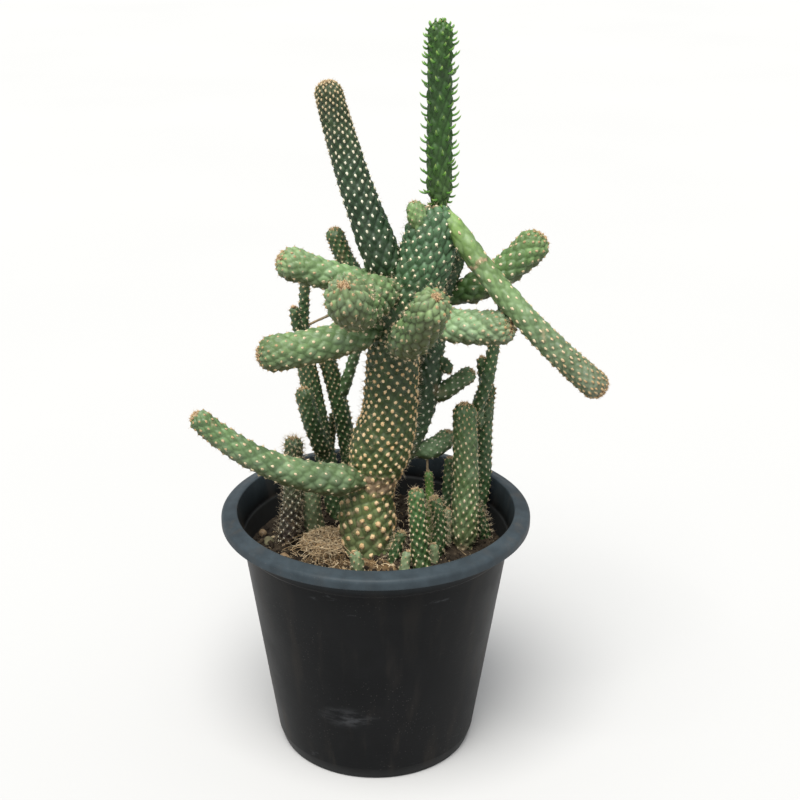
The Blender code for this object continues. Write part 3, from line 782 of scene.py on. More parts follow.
class Recipe:
    """A material built node by node. An input is a number, a colour or another node's output."""

    def __init__(self, name):
        self.material = bpy.data.materials.new(name)
        self.material.use_nodes = True
        self.tree = self.material.node_tree
        self.shader = self.tree.nodes["Principled BSDF"]

    def put(self, socket, value):
        """Links an output to the socket, or sets the socket to a number or a colour."""
        if isinstance(value, bpy.types.NodeSocket):
            self.tree.links.new(value, socket)
        elif socket.type == "RGBA":
            socket.default_value = (*value, 1.0)
        else:
            socket.default_value = value

    def add(self, kind, inputs, output=0, **settings):
        """A new node's output."""
        made = self.tree.nodes.new(f"ShaderNode{kind}")
        for key, value in settings.items():
            setattr(made, key, value)
        for key, value in inputs.items():
            self.put(made.inputs[key], value)
        return made.outputs[output]

    def value(self, name):
        """A number that the mesh carries at each point."""
        return self.add("Attribute", {}, "Fac", attribute_name=name)

    def math(self, operation, a, b):
        """A sum, product or the like of two values."""
        return self.add("Math", {0: a, 1: b}, operation=operation)

    def mix(self, share, a, b, blend="MIX"):
        """Colour a, with that share of b mixed in."""
        return self.add("Mix", {0: share, 6: a, 7: b}, 2, data_type="RGBA", blend_type=blend)

    def spread(self, value, low, high, to_low=0.0, to_high=1.0):
        """The value, with low to high stretched smoothly over to_low to to_high."""
        return self.add("MapRange", {"Value": value, "From Min": low, "From Max": high,
                                     "To Min": to_low, "To Max": to_high},
                        interpolation_type="SMOOTHSTEP")

    def noise(self, size, detail, stretch=(1.0, 1.0, 1.0), roughness=0.55):
        """Noise with lumps about size metres across."""
        place = self.add("TexCoord", {}, "Object")
        place = self.add("Mapping", {"Vector": place, "Scale": stretch})
        return self.add("TexNoise", {"Vector": place, "Scale": 0.5 / size, "Detail": detail,
                                     "Roughness": roughness})

    def ramp(self, value, stops):
        """A colour from stops of (place, colour)."""
        made = self.tree.nodes.new("ShaderNodeValToRGB")
        self.tree.links.new(value, made.inputs[0])
        points = made.color_ramp.elements
        while len(points) < len(stops):
            points.new(0.5)
        for point, (place, colour) in zip(points, stops):
            point.position = place
            point.color = (*colour, 1.0)
        return made.outputs[0]

    def bump(self, height, distance, strength, under=None):
        """A normal bent by the height, over another bump if there is one."""
        inputs = {"Height": height, "Distance": distance, "Strength": strength}
        if under is not None:
            inputs["Normal"] = under
        return self.add("Bump", inputs)

    def shaded(self, colour, shade):
        """The colour, lighter or darker."""
        grey = self.add("CombineColor", {0: shade, 1: shade, 2: shade})
        return self.mix(1.0, colour, grey, "MULTIPLY")

    def finish(self, colour, roughness, normal=None, specular=0.5):
        """The material, once its shader has all its inputs."""
        self.put(self.shader.inputs["Base Color"], colour)
        self.put(self.shader.inputs["Roughness"], roughness)
        self.shader.inputs["Specular IOR Level"].default_value = specular
        if normal is not None:
            self.put(self.shader.inputs["Normal"], normal)
        return self.material

    def grained(self, colour, grain, roughness, depth, strength, specular):
        """The material, with its roughness (low, high) and its bumps from the same grain."""
        return self.finish(colour, self.spread(grain, 0.3, 0.7, *roughness),
                           self.bump(grain, depth, strength), specular)


CORK = (0.20, 0.125, 0.065)
PALE_CORK = (0.36, 0.27, 0.17)
BLOOM = (0.34, 0.43, 0.30)
# Colour of the painted shade on the stems' undersides.
UNDERSIDE_SHADE = (0.054, 0.054, 0.020)


def skin_material(name, look):
    """Waxy green skin, darker in its furrows and underneath as painted shade, with bloom, scars
    and bark.
    """
    recipe = Recipe(name)
    share, wart = recipe.value("share"), recipe.value("wart")
    count = len(look.crests)
    stops = [(i / (count - 1), colour) for i, colour in enumerate(look.crests)]
    green = recipe.ramp(share, stops)
    patch = recipe.spread(recipe.noise(0.018, 4.0), 0.3, 0.7, 0.76, 1.2)
    speck = recipe.spread(recipe.noise(0.0016, 3.0), 0.3, 0.75, 0.86, 1.12)
    shade = recipe.math("MULTIPLY", recipe.math("MULTIPLY", patch, speck),
                        recipe.spread(wart, 0.0, 1.0, 0.84, 1.14))
    green = recipe.shaded(green, shade)
    # Painted shade in the furrows between the warts, in the look's furrow colour.
    furrow = recipe.spread(recipe.value("furrow"), 0.25, 1.0, 0.0, look.furrow_depth)
    breaks = recipe.spread(recipe.noise(0.014, 4.0), 0.3, 0.7, 0.55, 1.0)
    green = recipe.mix(recipe.math("MULTIPLY", breaks, furrow), green, look.furrow)
    bloom = recipe.math("MULTIPLY", recipe.spread(recipe.noise(0.006, 5.0), 0.42, 0.68),
                        recipe.spread(recipe.value("crest"), 0.0, 1.0, 0.35, 1.0))
    green = recipe.mix(recipe.math("MULTIPLY", bloom, look.bloom), green, BLOOM)
    # Painted shade on the undersides, tinted brown, by how far down the skin faces.
    flush = recipe.spread(recipe.value("under"), 0.10, 0.80, 0.0, look.flush)
    green = recipe.mix(flush, green, UNDERSIDE_SHADE)
    grain = recipe.noise(0.0035, 6.0)
    bark = recipe.ramp(grain, [(0.3, CORK), (0.7, PALE_CORK)])
    worn = recipe.math("ADD", recipe.value("cork"), recipe.spread(grain, 0.2, 0.8, -0.35, 0.35))
    scar = recipe.spread(recipe.noise(0.012, 5.0, (1.0, 1.0, 0.6)), 0.66, 0.74, 0.0, look.scars)
    worn = recipe.math("MAXIMUM", recipe.spread(worn, 0.35, 0.75), scar)
    colour = recipe.mix(worn, green, bark)
    pores = recipe.bump(recipe.noise(0.0007, 2.0), 0.00018, 0.5)
    normal = recipe.bump(recipe.math("MULTIPLY", grain, worn), 0.0012, 0.7, pores)
    gloss = recipe.math("ADD", recipe.spread(recipe.noise(0.009, 3.0), 0.3, 0.7, 0.42, 0.60),
                        recipe.math("MULTIPLY", worn, 0.3))
    return recipe.finish(colour, gloss, normal, 0.35)


def wool_material(name, low, high, tips, upper):
    """Felt that is darker round its foot as painted shade, uneven, and of another colour up the
    stem.
    """
    recipe = Recipe(name)
    colour = recipe.mix(recipe.value("tone"), low, high)
    # Painted shade round the foot of each cushion, where it sits in the skin.
    foot = recipe.mix(0.22, colour, (0.07, 0.045, 0.02))
    colour = recipe.mix(recipe.spread(recipe.value("high"), 0.1, 0.55), foot, colour)
    fluff = recipe.noise(0.0005, 3.0)
    colour = recipe.mix(recipe.spread(fluff, 0.45, 0.7, 0.0, 0.6), colour, tips)
    colour = recipe.mix(recipe.spread(recipe.value("share"), 0.55, 0.95, 0.0, 0.75), colour, upper)
    return recipe.grained(colour, fluff, (0.8, 0.97), 0.0005, 0.9, 0.2)


def spine_material(name, foot, tip):
    """Horn that changes from foot to point."""
    recipe = Recipe(name)
    high, tone = recipe.value("high"), recipe.value("tone")
    streak = recipe.noise(0.0012, 2.0)
    colour = recipe.mix(recipe.spread(high, 0.0, 0.9), foot, tip)
    colour = recipe.mix(recipe.math("MULTIPLY", tone, 0.35), colour, (0.16, 0.10, 0.05))
    return recipe.grained(colour, streak, (0.4, 0.6), 0.0001, 0.4, 0.4)


def leaf_material():
    """Fresh green, lighter towards the point partly as painted highlight, with a dry point."""
    recipe = Recipe("leaf_flesh")
    high, tone = recipe.value("high"), recipe.value("tone")
    # Lighter towards the point: partly the leaf's own colour, partly painted highlight; the dry
    # point is its own colour.
    colour = recipe.ramp(high, [(0.0, (0.045, 0.130, 0.018)), (0.45, (0.080, 0.210, 0.030)),
                                (0.93, (0.200, 0.340, 0.070)), (1.0, (0.25, 0.18, 0.06))])
    colour = recipe.shaded(colour, recipe.spread(tone, 0.0, 1.0, 0.75, 1.2))
    veins = recipe.noise(0.0008, 3.0, (1.0, 1.0, 0.3))
    return recipe.grained(colour, veins, (0.35, 0.5), 0.0002, 0.5, 0.5)


SCUFF_SQUASH = 2.4  # how much wider than tall the rubbed patch is
SCUFF_PLACE = (-0.024, -0.103, 0.070 * SCUFF_SQUASH)


def plastic_material():
    """Black moulded plastic with a painted sky reflection on its rim, dust that is partly painted
    sheen at its sides, scuffs, dried drops and dirt towards its foot.
    """
    recipe = Recipe("pot_black")
    rim, dust_and_sheen, inner = recipe.value("rim"), recipe.value("dust_and_sheen"), recipe.value("inner")
    cloud = recipe.noise(0.045, 6.0)
    black = recipe.mix(recipe.spread(cloud, 0.35, 0.7), (0.0030, 0.0030, 0.0032),
                       (0.0058, 0.0057, 0.0060))
    film_and_sheen = recipe.spread(recipe.noise(0.007, 8.0, (1.0, 1.0, 0.7)), 0.25, 0.8, 0.6, 1.0)
    # Painted reflection of the pale sky on the rim, broken up by the film noise, and faint over
    # the rest of the pot.
    colour = recipe.mix(recipe.math("MULTIPLY", rim, film_and_sheen), black, (0.042, 0.056, 0.066))
    streaks = recipe.spread(recipe.noise(0.010, 6.0, (1.0, 1.0, 0.16)), 0.5, 0.72)
    # Brown dust, heavier towards the foot; at the ±x sides it is partly painted grazing sheen.
    dirt_and_sheen = recipe.math("MULTIPLY", streaks, dust_and_sheen)
    colour = recipe.mix(dirt_and_sheen, colour, (0.105, 0.085, 0.066))
    dots = recipe.add("TexVoronoi", {"Vector": recipe.add("TexCoord", {}, "Object"),
                                     "Scale": 330.0, "Randomness": 1.0}, "Distance")
    splash = recipe.spread(recipe.noise(0.03, 3.0), 0.44, 0.62)
    drops = recipe.math("MULTIPLY", recipe.spread(dots, 0.10, 0.18, 1.0, 0.0), splash)
    colour = recipe.mix(recipe.math("MULTIPLY", drops, 0.32), colour, (0.11, 0.105, 0.10))
    scuff = recipe.spread(recipe.noise(0.022, 9.0, (1.0, 1.0, 2.6), 0.72), 0.63, 0.72)
    place = recipe.add("Mapping", {"Vector": recipe.add("TexCoord", {}, "Object"),
                                   "Scale": (1.0, 1.0, SCUFF_SQUASH)})
    gap = recipe.add("VectorMath", {0: place, 1: SCUFF_PLACE}, "Value", operation="DISTANCE")
    marks = recipe.spread(recipe.noise(0.009, 9.0, (1.0, 1.0, 3.4), 0.66), 0.42, 0.66)
    rubbed = recipe.math("MULTIPLY", recipe.spread(gap, 0.003, 0.036, 1.0, 0.0), marks)
    scuff = recipe.math("MAXIMUM", recipe.math("MULTIPLY", scuff, 0.30),
                        recipe.math("MULTIPLY", rubbed, 0.40))
    colour = recipe.mix(scuff, colour, (0.085, 0.088, 0.095))
    inside = recipe.mix(film_and_sheen, (0.008, 0.009, 0.010), (0.020, 0.021, 0.021))
    colour = recipe.mix(inner, colour, inside)
    orange_peel = recipe.bump(recipe.noise(0.0011, 2.0), 0.00008, 0.6)
    scratches = recipe.noise(0.004, 4.0, (0.25, 0.25, 6.0))
    normal = recipe.bump(scratches, 0.00012, 0.5, orange_peel)
    gloss = recipe.math("ADD", recipe.spread(cloud, 0.3, 0.7, 0.40, 0.52),
                        recipe.math("MULTIPLY", dirt_and_sheen, 0.35))
    return recipe.finish(colour, gloss, normal, 0.09)


def soil_material():
    """Dark peat, golden where coir lies in it, with painted shade in its hollows."""
    recipe = Recipe("soil_earth_looks")
    coir, high = recipe.value("coir"), recipe.value("high")
    grain, clod = recipe.noise(0.0022, 6.0), recipe.noise(0.012, 5.0)
    dark = recipe.ramp(grain, [(0.25, (0.010, 0.008, 0.006)), (0.55, (0.035, 0.026, 0.017)),
                               (0.8, (0.10, 0.078, 0.052))])
    gold = recipe.ramp(grain, [(0.2, (0.045, 0.027, 0.012)), (0.5, (0.14, 0.088, 0.042)),
                               (0.8, (0.30, 0.21, 0.12))])
    share = recipe.spread(recipe.math("ADD", coir, recipe.spread(clod, 0.2, 0.8, -0.4, 0.4)),
                          0.35, 0.7)
    colour = recipe.mix(share, dark, gold)
    # Painted shade: darker where the surface lies low.
    colour = recipe.mix(recipe.spread(high, -1.0, 0.2, 0.65, 0.0), colour, (0.008, 0.006, 0.005))
    normal = recipe.bump(clod, 0.004, 0.5, recipe.bump(grain, 0.0016, 0.9))
    return recipe.finish(colour, recipe.spread(grain, 0.3, 0.7, 0.85, 1.0), normal, 0.15)


def crumb_material():
    """Peat, bark and coir, one shade to a crumb."""
    recipe = Recipe("soil_crumbs_looks")
    grain = recipe.noise(0.0012, 5.0)
    # The lightest tones, used for the grains on the root mound, are partly their own colour and
    # partly painted light, lightened where the arms shade the mound.
    colour = recipe.ramp(recipe.value("tone"), [
        (0.0, (0.012, 0.009, 0.007)), (0.45, (0.045, 0.033, 0.022)), (0.72, (0.11, 0.080, 0.050)),
        (0.88, (0.30, 0.215, 0.125)), (1.0, (0.58, 0.46, 0.30))])
    colour = recipe.mix(recipe.spread(grain, 0.35, 0.75, 0.55, 0.0), colour, (0.010, 0.008, 0.006))
    return recipe.grained(colour, grain, (0.85, 1.0), 0.0008, 0.9, 0.15)


def fibre_material(name, low, high):
    """Dry fibre, streaked darker."""
    recipe = Recipe(name)
    strand = recipe.noise(0.0009, 4.0)
    colour = recipe.mix(recipe.value("tone"), low, high)
    colour = recipe.mix(recipe.spread(strand, 0.35, 0.75, 0.0, 0.35), colour, (0.08, 0.05, 0.025))
    return recipe.grained(colour, strand, (0.75, 0.95), 0.0004, 0.8, 0.2)


def stone_material(name, low, high):
    """Mottled grit."""
    recipe = Recipe(name)
    mottle, grit = recipe.noise(0.004, 5.0), recipe.noise(0.0007, 3.0)
    colour = recipe.ramp(mottle, [(0.3, low), (0.7, high)])
    colour = recipe.mix(recipe.spread(grit, 0.55, 0.75, 0.0, 0.5), colour, (0.05, 0.042, 0.033))
    return recipe.finish(colour, recipe.spread(mottle, 0.3, 0.7, 0.6, 0.85),
                         recipe.bump(grit, 0.0005, 0.7), 0.3)


# ---------------------------------------------------------------- looks of each kind of stem

# Lists run from a stem's foot to its tip at even steps. crests: the warts' colour; furrow: the
# colour of the painted shade between them, and furrow_depth how much of it shows; bloom,
# flush and scars: how much wax, painted shade underneath and scarring there is; cork:
# bands of bark, as (share of the length, half width, strength); spacing: millimetres between
# areoles; relief: millimetres from furrow to crest; stretch: how much longer than wide a wart is;
# overlap: how far its upper edge stands out; wool: the areoles' radius in millimetres; spines: how
# many an areole has; spine_length: in millimetres; tuft: how many bristles the tip has;
# tuft_width: share of its radius they cover.
Look = namedtuple("Look", "crests furrow furrow_depth bloom flush scars cork spacing relief "
                          "stretch overlap wool wool_kind spines spine_length spine_kind "
                          "tuft tuft_width")

ARM = Look(
    crests=((0.115, 0.190, 0.068), (0.155, 0.255, 0.105), (0.170, 0.270, 0.117),
            (0.170, 0.240, 0.102)),
    furrow=(0.070, 0.125, 0.038), furrow_depth=0.75, bloom=0.20, flush=0.80, scars=0.6,
    cork=((1.0, 0.035, 0.8),), spacing=(9.0, 10.5, 10.5, 9.0, 5.4), relief=(2.5,),
    stretch=(1.2, 1.2, 1.3, 1.9), overlap=0.25, wool=(1.2, 1.3, 1.25, 1.0),
    wool_kind="cream_wool", spines=2, spine_length=3.2, spine_kind="pale_spines", tuft=120,
    tuft_width=0.5)
DARK = ARM._replace(
    crests=((0.060, 0.100, 0.036), (0.048, 0.098, 0.034), (0.042, 0.088, 0.030),
            (0.058, 0.094, 0.034)),
    furrow=(0.014, 0.032, 0.010), furrow_depth=0.9, bloom=0.10, flush=0.3, scars=0.4,
    cork=((0.0, 0.06, 0.7), (1.0, 0.03, 0.6)), spacing=(6.2, 5.8, 5.6, 4.4), relief=(1.5,),
    stretch=(1.4,), overlap=0.15, wool=(0.85, 0.85, 0.8, 0.7), spine_length=3.0, tuft=60,
    tuft_width=0.6)
LOOKS = {
    "trunk": ARM._replace(
        # The lowest crest colours are partly the trunk's own paler tone and partly painted light,
        # lightened where the arms shade the lower trunk.
        crests=((0.170, 0.215, 0.098), (0.165, 0.205, 0.085), (0.115, 0.150, 0.050),
                (0.068, 0.098, 0.028), (0.040, 0.064, 0.017), (0.034, 0.058, 0.016),
                (0.044, 0.092, 0.036), (0.062, 0.135, 0.062), (0.056, 0.118, 0.052)),
        furrow=(0.018, 0.034, 0.011), furrow_depth=0.80, bloom=0.10, flush=0.0, scars=0.8,
        cork=((0.17, 0.09, 0.38), (0.285, 0.030, 0.80), (0.99, 0.010, 0.8), (0.42, 0.10, 0.22)),
        spacing=(12.8, 12.2, 9.0, 7.8, 7.4, 7.4, 8.2, 9.4, 8.4), relief=(1.6, 1.8, 2.2, 2.4, 3.6),
        stretch=(1.1, 1.1, 1.2, 1.5, 1.8), overlap=0.35,
        wool=(3.0, 2.7, 1.95, 1.7, 1.6, 1.5, 1.25, 1.15, 1.0), wool_kind="tan_wool",
        spines=3, spine_length=6.0, tuft=0),
    "arm": ARM,
    "arm_middle": ARM._replace(
        crests=((0.080, 0.135, 0.048), (0.105, 0.172, 0.068), (0.115, 0.182, 0.074),
                (0.125, 0.185, 0.074)), furrow=(0.050, 0.090, 0.028)),
    "arm_right": ARM._replace(
        crests=((0.150, 0.240, 0.100), (0.205, 0.310, 0.155), (0.215, 0.315, 0.165),
                (0.205, 0.275, 0.140)), bloom=0.30),
    "arm_front": ARM._replace(
        crests=((0.085, 0.130, 0.050), (0.100, 0.160, 0.062), (0.120, 0.195, 0.075),
                (0.170, 0.235, 0.105)),
        furrow=(0.052, 0.062, 0.026), furrow_depth=0.9, spacing=(10.0, 11.0, 11.0, 7.6),
        stretch=(1.2, 1.5, 2.3), overlap=0.30, relief=(2.8, 3.8, 3.4), wool=(1.25, 1.25, 1.1),
        tuft=240, tuft_width=0.30, spines=4, spine_length=4.0),
    "arm_upper": ARM._replace(
        crests=((0.060, 0.120, 0.032), (0.075, 0.145, 0.040), (0.110, 0.200, 0.062),
                (0.145, 0.215, 0.080)),
        furrow=(0.040, 0.085, 0.022), bloom=0.12, cork=((0.42, 0.030, 0.4), (1.0, 0.05, 0.8)),
        spacing=(11.0, 11.0, 9.5, 5.0), wool=(1.3, 1.35, 1.1)),
    "arm_low": ARM._replace(
        crests=((0.125, 0.180, 0.075), (0.115, 0.175, 0.078), (0.105, 0.170, 0.072),
                (0.105, 0.180, 0.070)),
        furrow=(0.060, 0.108, 0.040), furrow_depth=0.7, bloom=0.25,
        cork=((0.0, 0.05, 0.3), (1.0, 0.03, 0.8)), spacing=(11.0, 10.6, 10.0, 8.6, 5.4),
        relief=(1.8,), stretch=(1.4,), wool=(1.2, 1.2, 1.1, 0.9), tuft=100, tuft_width=0.7),
    "droop": ARM._replace(
        crests=((0.130, 0.220, 0.050), (0.130, 0.215, 0.062), (0.125, 0.200, 0.078),
                (0.120, 0.185, 0.084), (0.110, 0.150, 0.080), (0.140, 0.145, 0.100)),
        furrow=(0.070, 0.125, 0.042), furrow_depth=0.55, bloom=0.25, flush=0.25,
        cork=((0.25, 0.018, 0.6), (1.0, 0.06, 0.7)), spacing=(14.0, 12.0, 10.0, 8.4, 6.2, 4.2),
        relief=(1.4,), stretch=(1.8, 1.7, 1.3, 1.0), overlap=0.1,
        wool=(0.8, 1.0, 1.05, 1.05, 0.95), spine_length=2.5, tuft_width=0.8),
    "bud": ARM._replace(
        crests=((0.120, 0.200, 0.055), (0.165, 0.265, 0.090), (0.180, 0.280, 0.105)),
        spacing=(7.0, 6.5, 4.0), relief=(1.4,), wool=(0.7, 0.7, 0.5), tuft=25),
    "tall_left": DARK._replace(
        crests=((0.080, 0.150, 0.036), (0.030, 0.066, 0.026), (0.020, 0.048, 0.020),
                (0.020, 0.046, 0.018), (0.028, 0.050, 0.018), (0.055, 0.070, 0.026)),
        furrow=(0.008, 0.018, 0.008), flush=0.1, scars=0.2,
        cork=((0.0, 0.03, 0.5), (1.0, 0.03, 0.8)), spacing=(9.5, 9.0, 8.0, 6.8, 5.0, 3.6),
        relief=(2.2,), stretch=(1.45,), overlap=0.3, wool=(1.05, 1.1, 1.05, 0.95, 0.85),
        wool_kind="white_wool", spines=1, tuft=120, tuft_width=0.8),
    "tall_right": DARK._replace(
        crests=((0.050, 0.100, 0.020), (0.024, 0.070, 0.010), (0.022, 0.068, 0.010),
                (0.038, 0.100, 0.016)),
        furrow=(0.008, 0.026, 0.004), bloom=0.04, flush=0.0, scars=0.0,
        cork=((0.0, 0.04, 0.7),), spacing=(8.5, 10.0, 9.5, 5.6), relief=(2.0,), stretch=(1.7,),
        overlap=0.35, wool=(0.45, 0.5, 0.4), wool_kind="white_wool", spines=0, tuft=18),
    "column": DARK._replace(
        crests=((0.055, 0.075, 0.032), (0.036, 0.072, 0.030), (0.032, 0.070, 0.030),
                (0.040, 0.082, 0.036), (0.045, 0.088, 0.038)),
        spacing=(8.0, 7.6, 7.6, 6.5, 5.0), relief=(1.8,), overlap=0.35, stretch=(1.2,),
        wool=(1.1, 1.05, 0.95, 0.75), wool_kind="white_wool", spine_length=3.5),
    "rooted": DARK,
    "rooted_pale": DARK._replace(
        crests=((0.120, 0.105, 0.056), (0.090, 0.140, 0.050), (0.070, 0.115, 0.040),
                (0.026, 0.058, 0.018)),
        furrow=(0.036, 0.060, 0.020), bloom=0.18, spacing=(7.0, 6.8, 6.2, 4.6), stretch=(1.7,),
        cork=((0.0, 0.14, 0.9), (1.0, 0.03, 0.6)), wool=(1.0, 1.0, 0.9, 0.75)),
    "rear_small": ARM._replace(
        crests=((0.075, 0.120, 0.050), (0.085, 0.150, 0.062), (0.095, 0.160, 0.070)),
        furrow=(0.045, 0.085, 0.032), furrow_depth=0.7, scars=0.3,
        spacing=(7.0, 6.5, 4.5), relief=(1.3,), stretch=(1.4,), wool=(0.8, 0.8, 0.6),
        wool_kind="white_wool", spines=1, spine_length=2.5, tuft=40),
    "front": DARK._replace(
        crests=((0.085, 0.110, 0.042), (0.065, 0.125, 0.040), (0.050, 0.110, 0.032),
                (0.060, 0.120, 0.038)),
        furrow=(0.018, 0.042, 0.012), spacing=(6.4, 6.2, 5.8, 4.4), relief=(1.7,),
        wool=(1.15, 1.15, 1.1, 0.8), spine_length=5.0),
    "bristly": DARK._replace(spines=6, spine_length=6.0, spacing=(5.4, 5.2, 4.4),
                             wool=(0.8, 0.8, 0.65), tuft=80, tuft_width=0.9),
    "tiny": DARK._replace(
        crests=((0.070, 0.120, 0.026), (0.070, 0.150, 0.028), (0.090, 0.180, 0.040)),
        furrow=(0.030, 0.075, 0.014), spacing=(4.6, 4.4, 3.4), relief=(0.8,),
        wool=(0.5, 0.5, 0.4), spine_length=2.8, tuft=14),
    "old": DARK._replace(
        crests=((0.075, 0.052, 0.045), (0.070, 0.055, 0.045), (0.060, 0.080, 0.036),
                (0.050, 0.090, 0.032)),
        furrow=(0.022, 0.016, 0.012), cork=((0.1, 0.35, 0.5),), relief=(1.6,), spine_length=6.5,
        spines=6, wool_kind="white_wool"),
    "pale": ARM._replace(
        crests=((0.150, 0.150, 0.085), (0.150, 0.190, 0.098), (0.155, 0.210, 0.105)),
        furrow=(0.090, 0.110, 0.055), bloom=0.3, cork=((0.0, 0.32, 0.85),),
        spacing=(7.0, 6.5, 4.5), relief=(0.9,), stretch=(1.4,), wool=(0.8, 0.8, 0.6), spines=1,
        spine_length=2.5, tuft=30),
    "twig": DARK._replace(
        crests=((0.19, 0.14, 0.08), (0.24, 0.19, 0.11)), furrow=(0.09, 0.065, 0.04),
        furrow_depth=0.5, flush=0.0, cork=((0.5, 0.9, 0.5),), spacing=(4.0, 4.0),
        relief=(0.25,), wool=(0.0, 0.0), spines=0, tuft=0),
}

LOOK_OF = {
    "trunk": "trunk", "rear_column": "column", "arm_tall_left": "tall_left",
    "arm_tall_right": "tall_right", "arm_drooping": "droop", "arm_right_upper": "arm_upper",
    "arm_left_low": "arm_low", "arm_left_middle": "arm_middle", "arm_right_lower": "arm_right",
    "arm_front_left": "arm_front", "arm_front_right": "arm_front", "bud_top_left": "bud",
    "arm_rear_right": "rear_small", "arm_rear_low": "rear_small", "stem_right": "rooted_pale",
    "stem_left_short": "old", "stem_front": "front", "stem_front_inner": "bristly",
    "stem_right_small": "bristly", "stem_front_spiky": "bristly", "stem_front_tiny": "tiny",
    "stem_left_back_branch": "rear_small",
}
LOOK_OF_SKIN = {"arm_skin": "arm", "dark_skin": "rooted", "pale_skin": "pale",
                "twig_bark": "twig"}  # for the other stems


# ---------------------------------------------------------------- pot


def arc(centre, radius, start, end, count):
    """Points on a circle in the profile's plane, between two angles in degrees."""
    angles = np.radians(np.linspace(start, end, count))
    return [(centre[0] + radius * math.cos(a), centre[1] + radius * math.sin(a)) for a in angles]


def eased_corner(before, corner, after, reach):
    """A corner of the profile turned into a short curve."""
    before, corner, after = (np.array(point) for point in (before, corner, after))
    start = corner + unit(before - corner) * min(reach, 0.4 * np.linalg.norm(before - corner))
    end = corner + unit(after - corner) * min(reach, 0.4 * np.linalg.norm(after - corner))
    return [tuple((1 - t) ** 2 * start + 2 * t * (1 - t) * corner + t * t * end)
            for t in np.linspace(0.0, 1.0, 5)]


def eased_profile(points, reach):
    """A profile with each of its inner corners eased."""
    found = [points[0]]
    for before, corner, after in zip(points, points[1:], points[2:]):
        found += eased_corner(before, corner, after, reach)
    return found + [points[-1]]


def pot_profile():
    """Radius and height from the middle of the floor, up the inside and down the outside."""
    collar = mouth_radius() - COLLAR_FLARE
    mouth = mouth_radius() + MOUTH_ROUND
    edge_top = POT_HEIGHT - LIP_FALL - LIP_ROUND
    lip_bottom = POT_HEIGHT - LIP_DEPTH
    inside = eased_profile([
        (0.0, FLOOR), (FOOT_RADIUS - FOOT_INSET - WALL, FLOOR), (FOOT_RADIUS - WALL, FOOT_HEIGHT),
        (wall_radius(step_height()) - WALL, step_height()), (collar, step_height() + WALL),
        (mouth_radius(), POT_HEIGHT - MOUTH_ROUND)], 0.0012)
    lip = (arc((mouth, POT_HEIGHT - MOUTH_ROUND), MOUTH_ROUND, 180, 90, 7)
           + [(mouth + 0.003, POT_HEIGHT - 0.0001), (RIM_RADIUS - LIP_ROUND - 0.003,
                                                     POT_HEIGHT - 0.8 * LIP_FALL)]
           + arc((RIM_RADIUS - LIP_ROUND, edge_top), LIP_ROUND, 80, 0, 9))
    outside = eased_profile([
        (RIM_RADIUS, edge_top - 0.001), (RIM_RADIUS, lip_bottom), (RIM_RADIUS - WALL, lip_bottom),
        (RIM_RADIUS - WALL, edge_top), (RIM_RADIUS - LIP_ROUND, edge_top + LIP_ROUND - WALL),
        (mouth + WALL, POT_HEIGHT - MOUTH_ROUND - WALL), (collar + WALL, step_height()),
        (wall_radius(step_height() - WALL), step_height() - WALL),
        (wall_radius(0.5 * step_height()), 0.5 * step_height()),
        (FOOT_RADIUS, FOOT_HEIGHT), (FOOT_RADIUS - FOOT_INSET, 0.0), (0.0, 0.0)], 0.0009)
    return inside[:-1] + lip + outside[1:]


def turned_mesh(profile, sides):
    """Points and faces of a closed turned shape whose profile starts and ends on the axis."""
    rings = np.array(profile[1:-1])
    points = rings_of(*rings.T, turns_round(sides))
    hubs = [(0.0, 0.0, profile[0][1]), (0.0, 0.0, profile[-1][1])]
    faces = [ring_faces(len(rings), sides)[:, ::-1],
             fan_faces(0, sides, len(points), True),
             fan_faces((len(rings) - 1) * sides, sides, len(points) + 1, False)]
    return np.vstack([points, hubs]), faces


def cut_drain_holes(pot):
    """Cuts the ring of holes, and leaves the pot as plain mesh."""
    drill = []
    for index in range(HOLE_COUNT):
        turn = 2.0 * math.pi * (index + 0.5) / HOLE_COUNT
        points, faces = turned_mesh([(0.0, FLOOR + 0.002), (HOLE_RADIUS, FLOOR + 0.002),
                                     (HOLE_RADIUS, -0.002), (0.0, -0.002)], 32)
        middle = HOLE_RING_RADIUS * np.array([math.cos(turn), math.sin(turn), 0.0])
        drill.append((points + middle, faces, {}))
    points, faces, _ = merged(drill)
    cutter = add_mesh("drain_drill", points, faces, pot.data.materials[0])
    modifier = pot.modifiers.new("drain_holes", "BOOLEAN")
    modifier.solver = "EXACT"
    modifier.object = cutter
    bpy.context.view_layer.update()
    cut = bpy.data.meshes.new_from_object(pot.evaluated_get(bpy.context.evaluated_depsgraph_get()))
    pot.modifiers.clear()
    pot.data = cut
    for face in cut.polygons:
        face.use_smooth = face.center.z > FLOOR + 0.001 or abs(face.normal.z) < 0.98
    bpy.data.objects.remove(cutter, do_unlink=True)


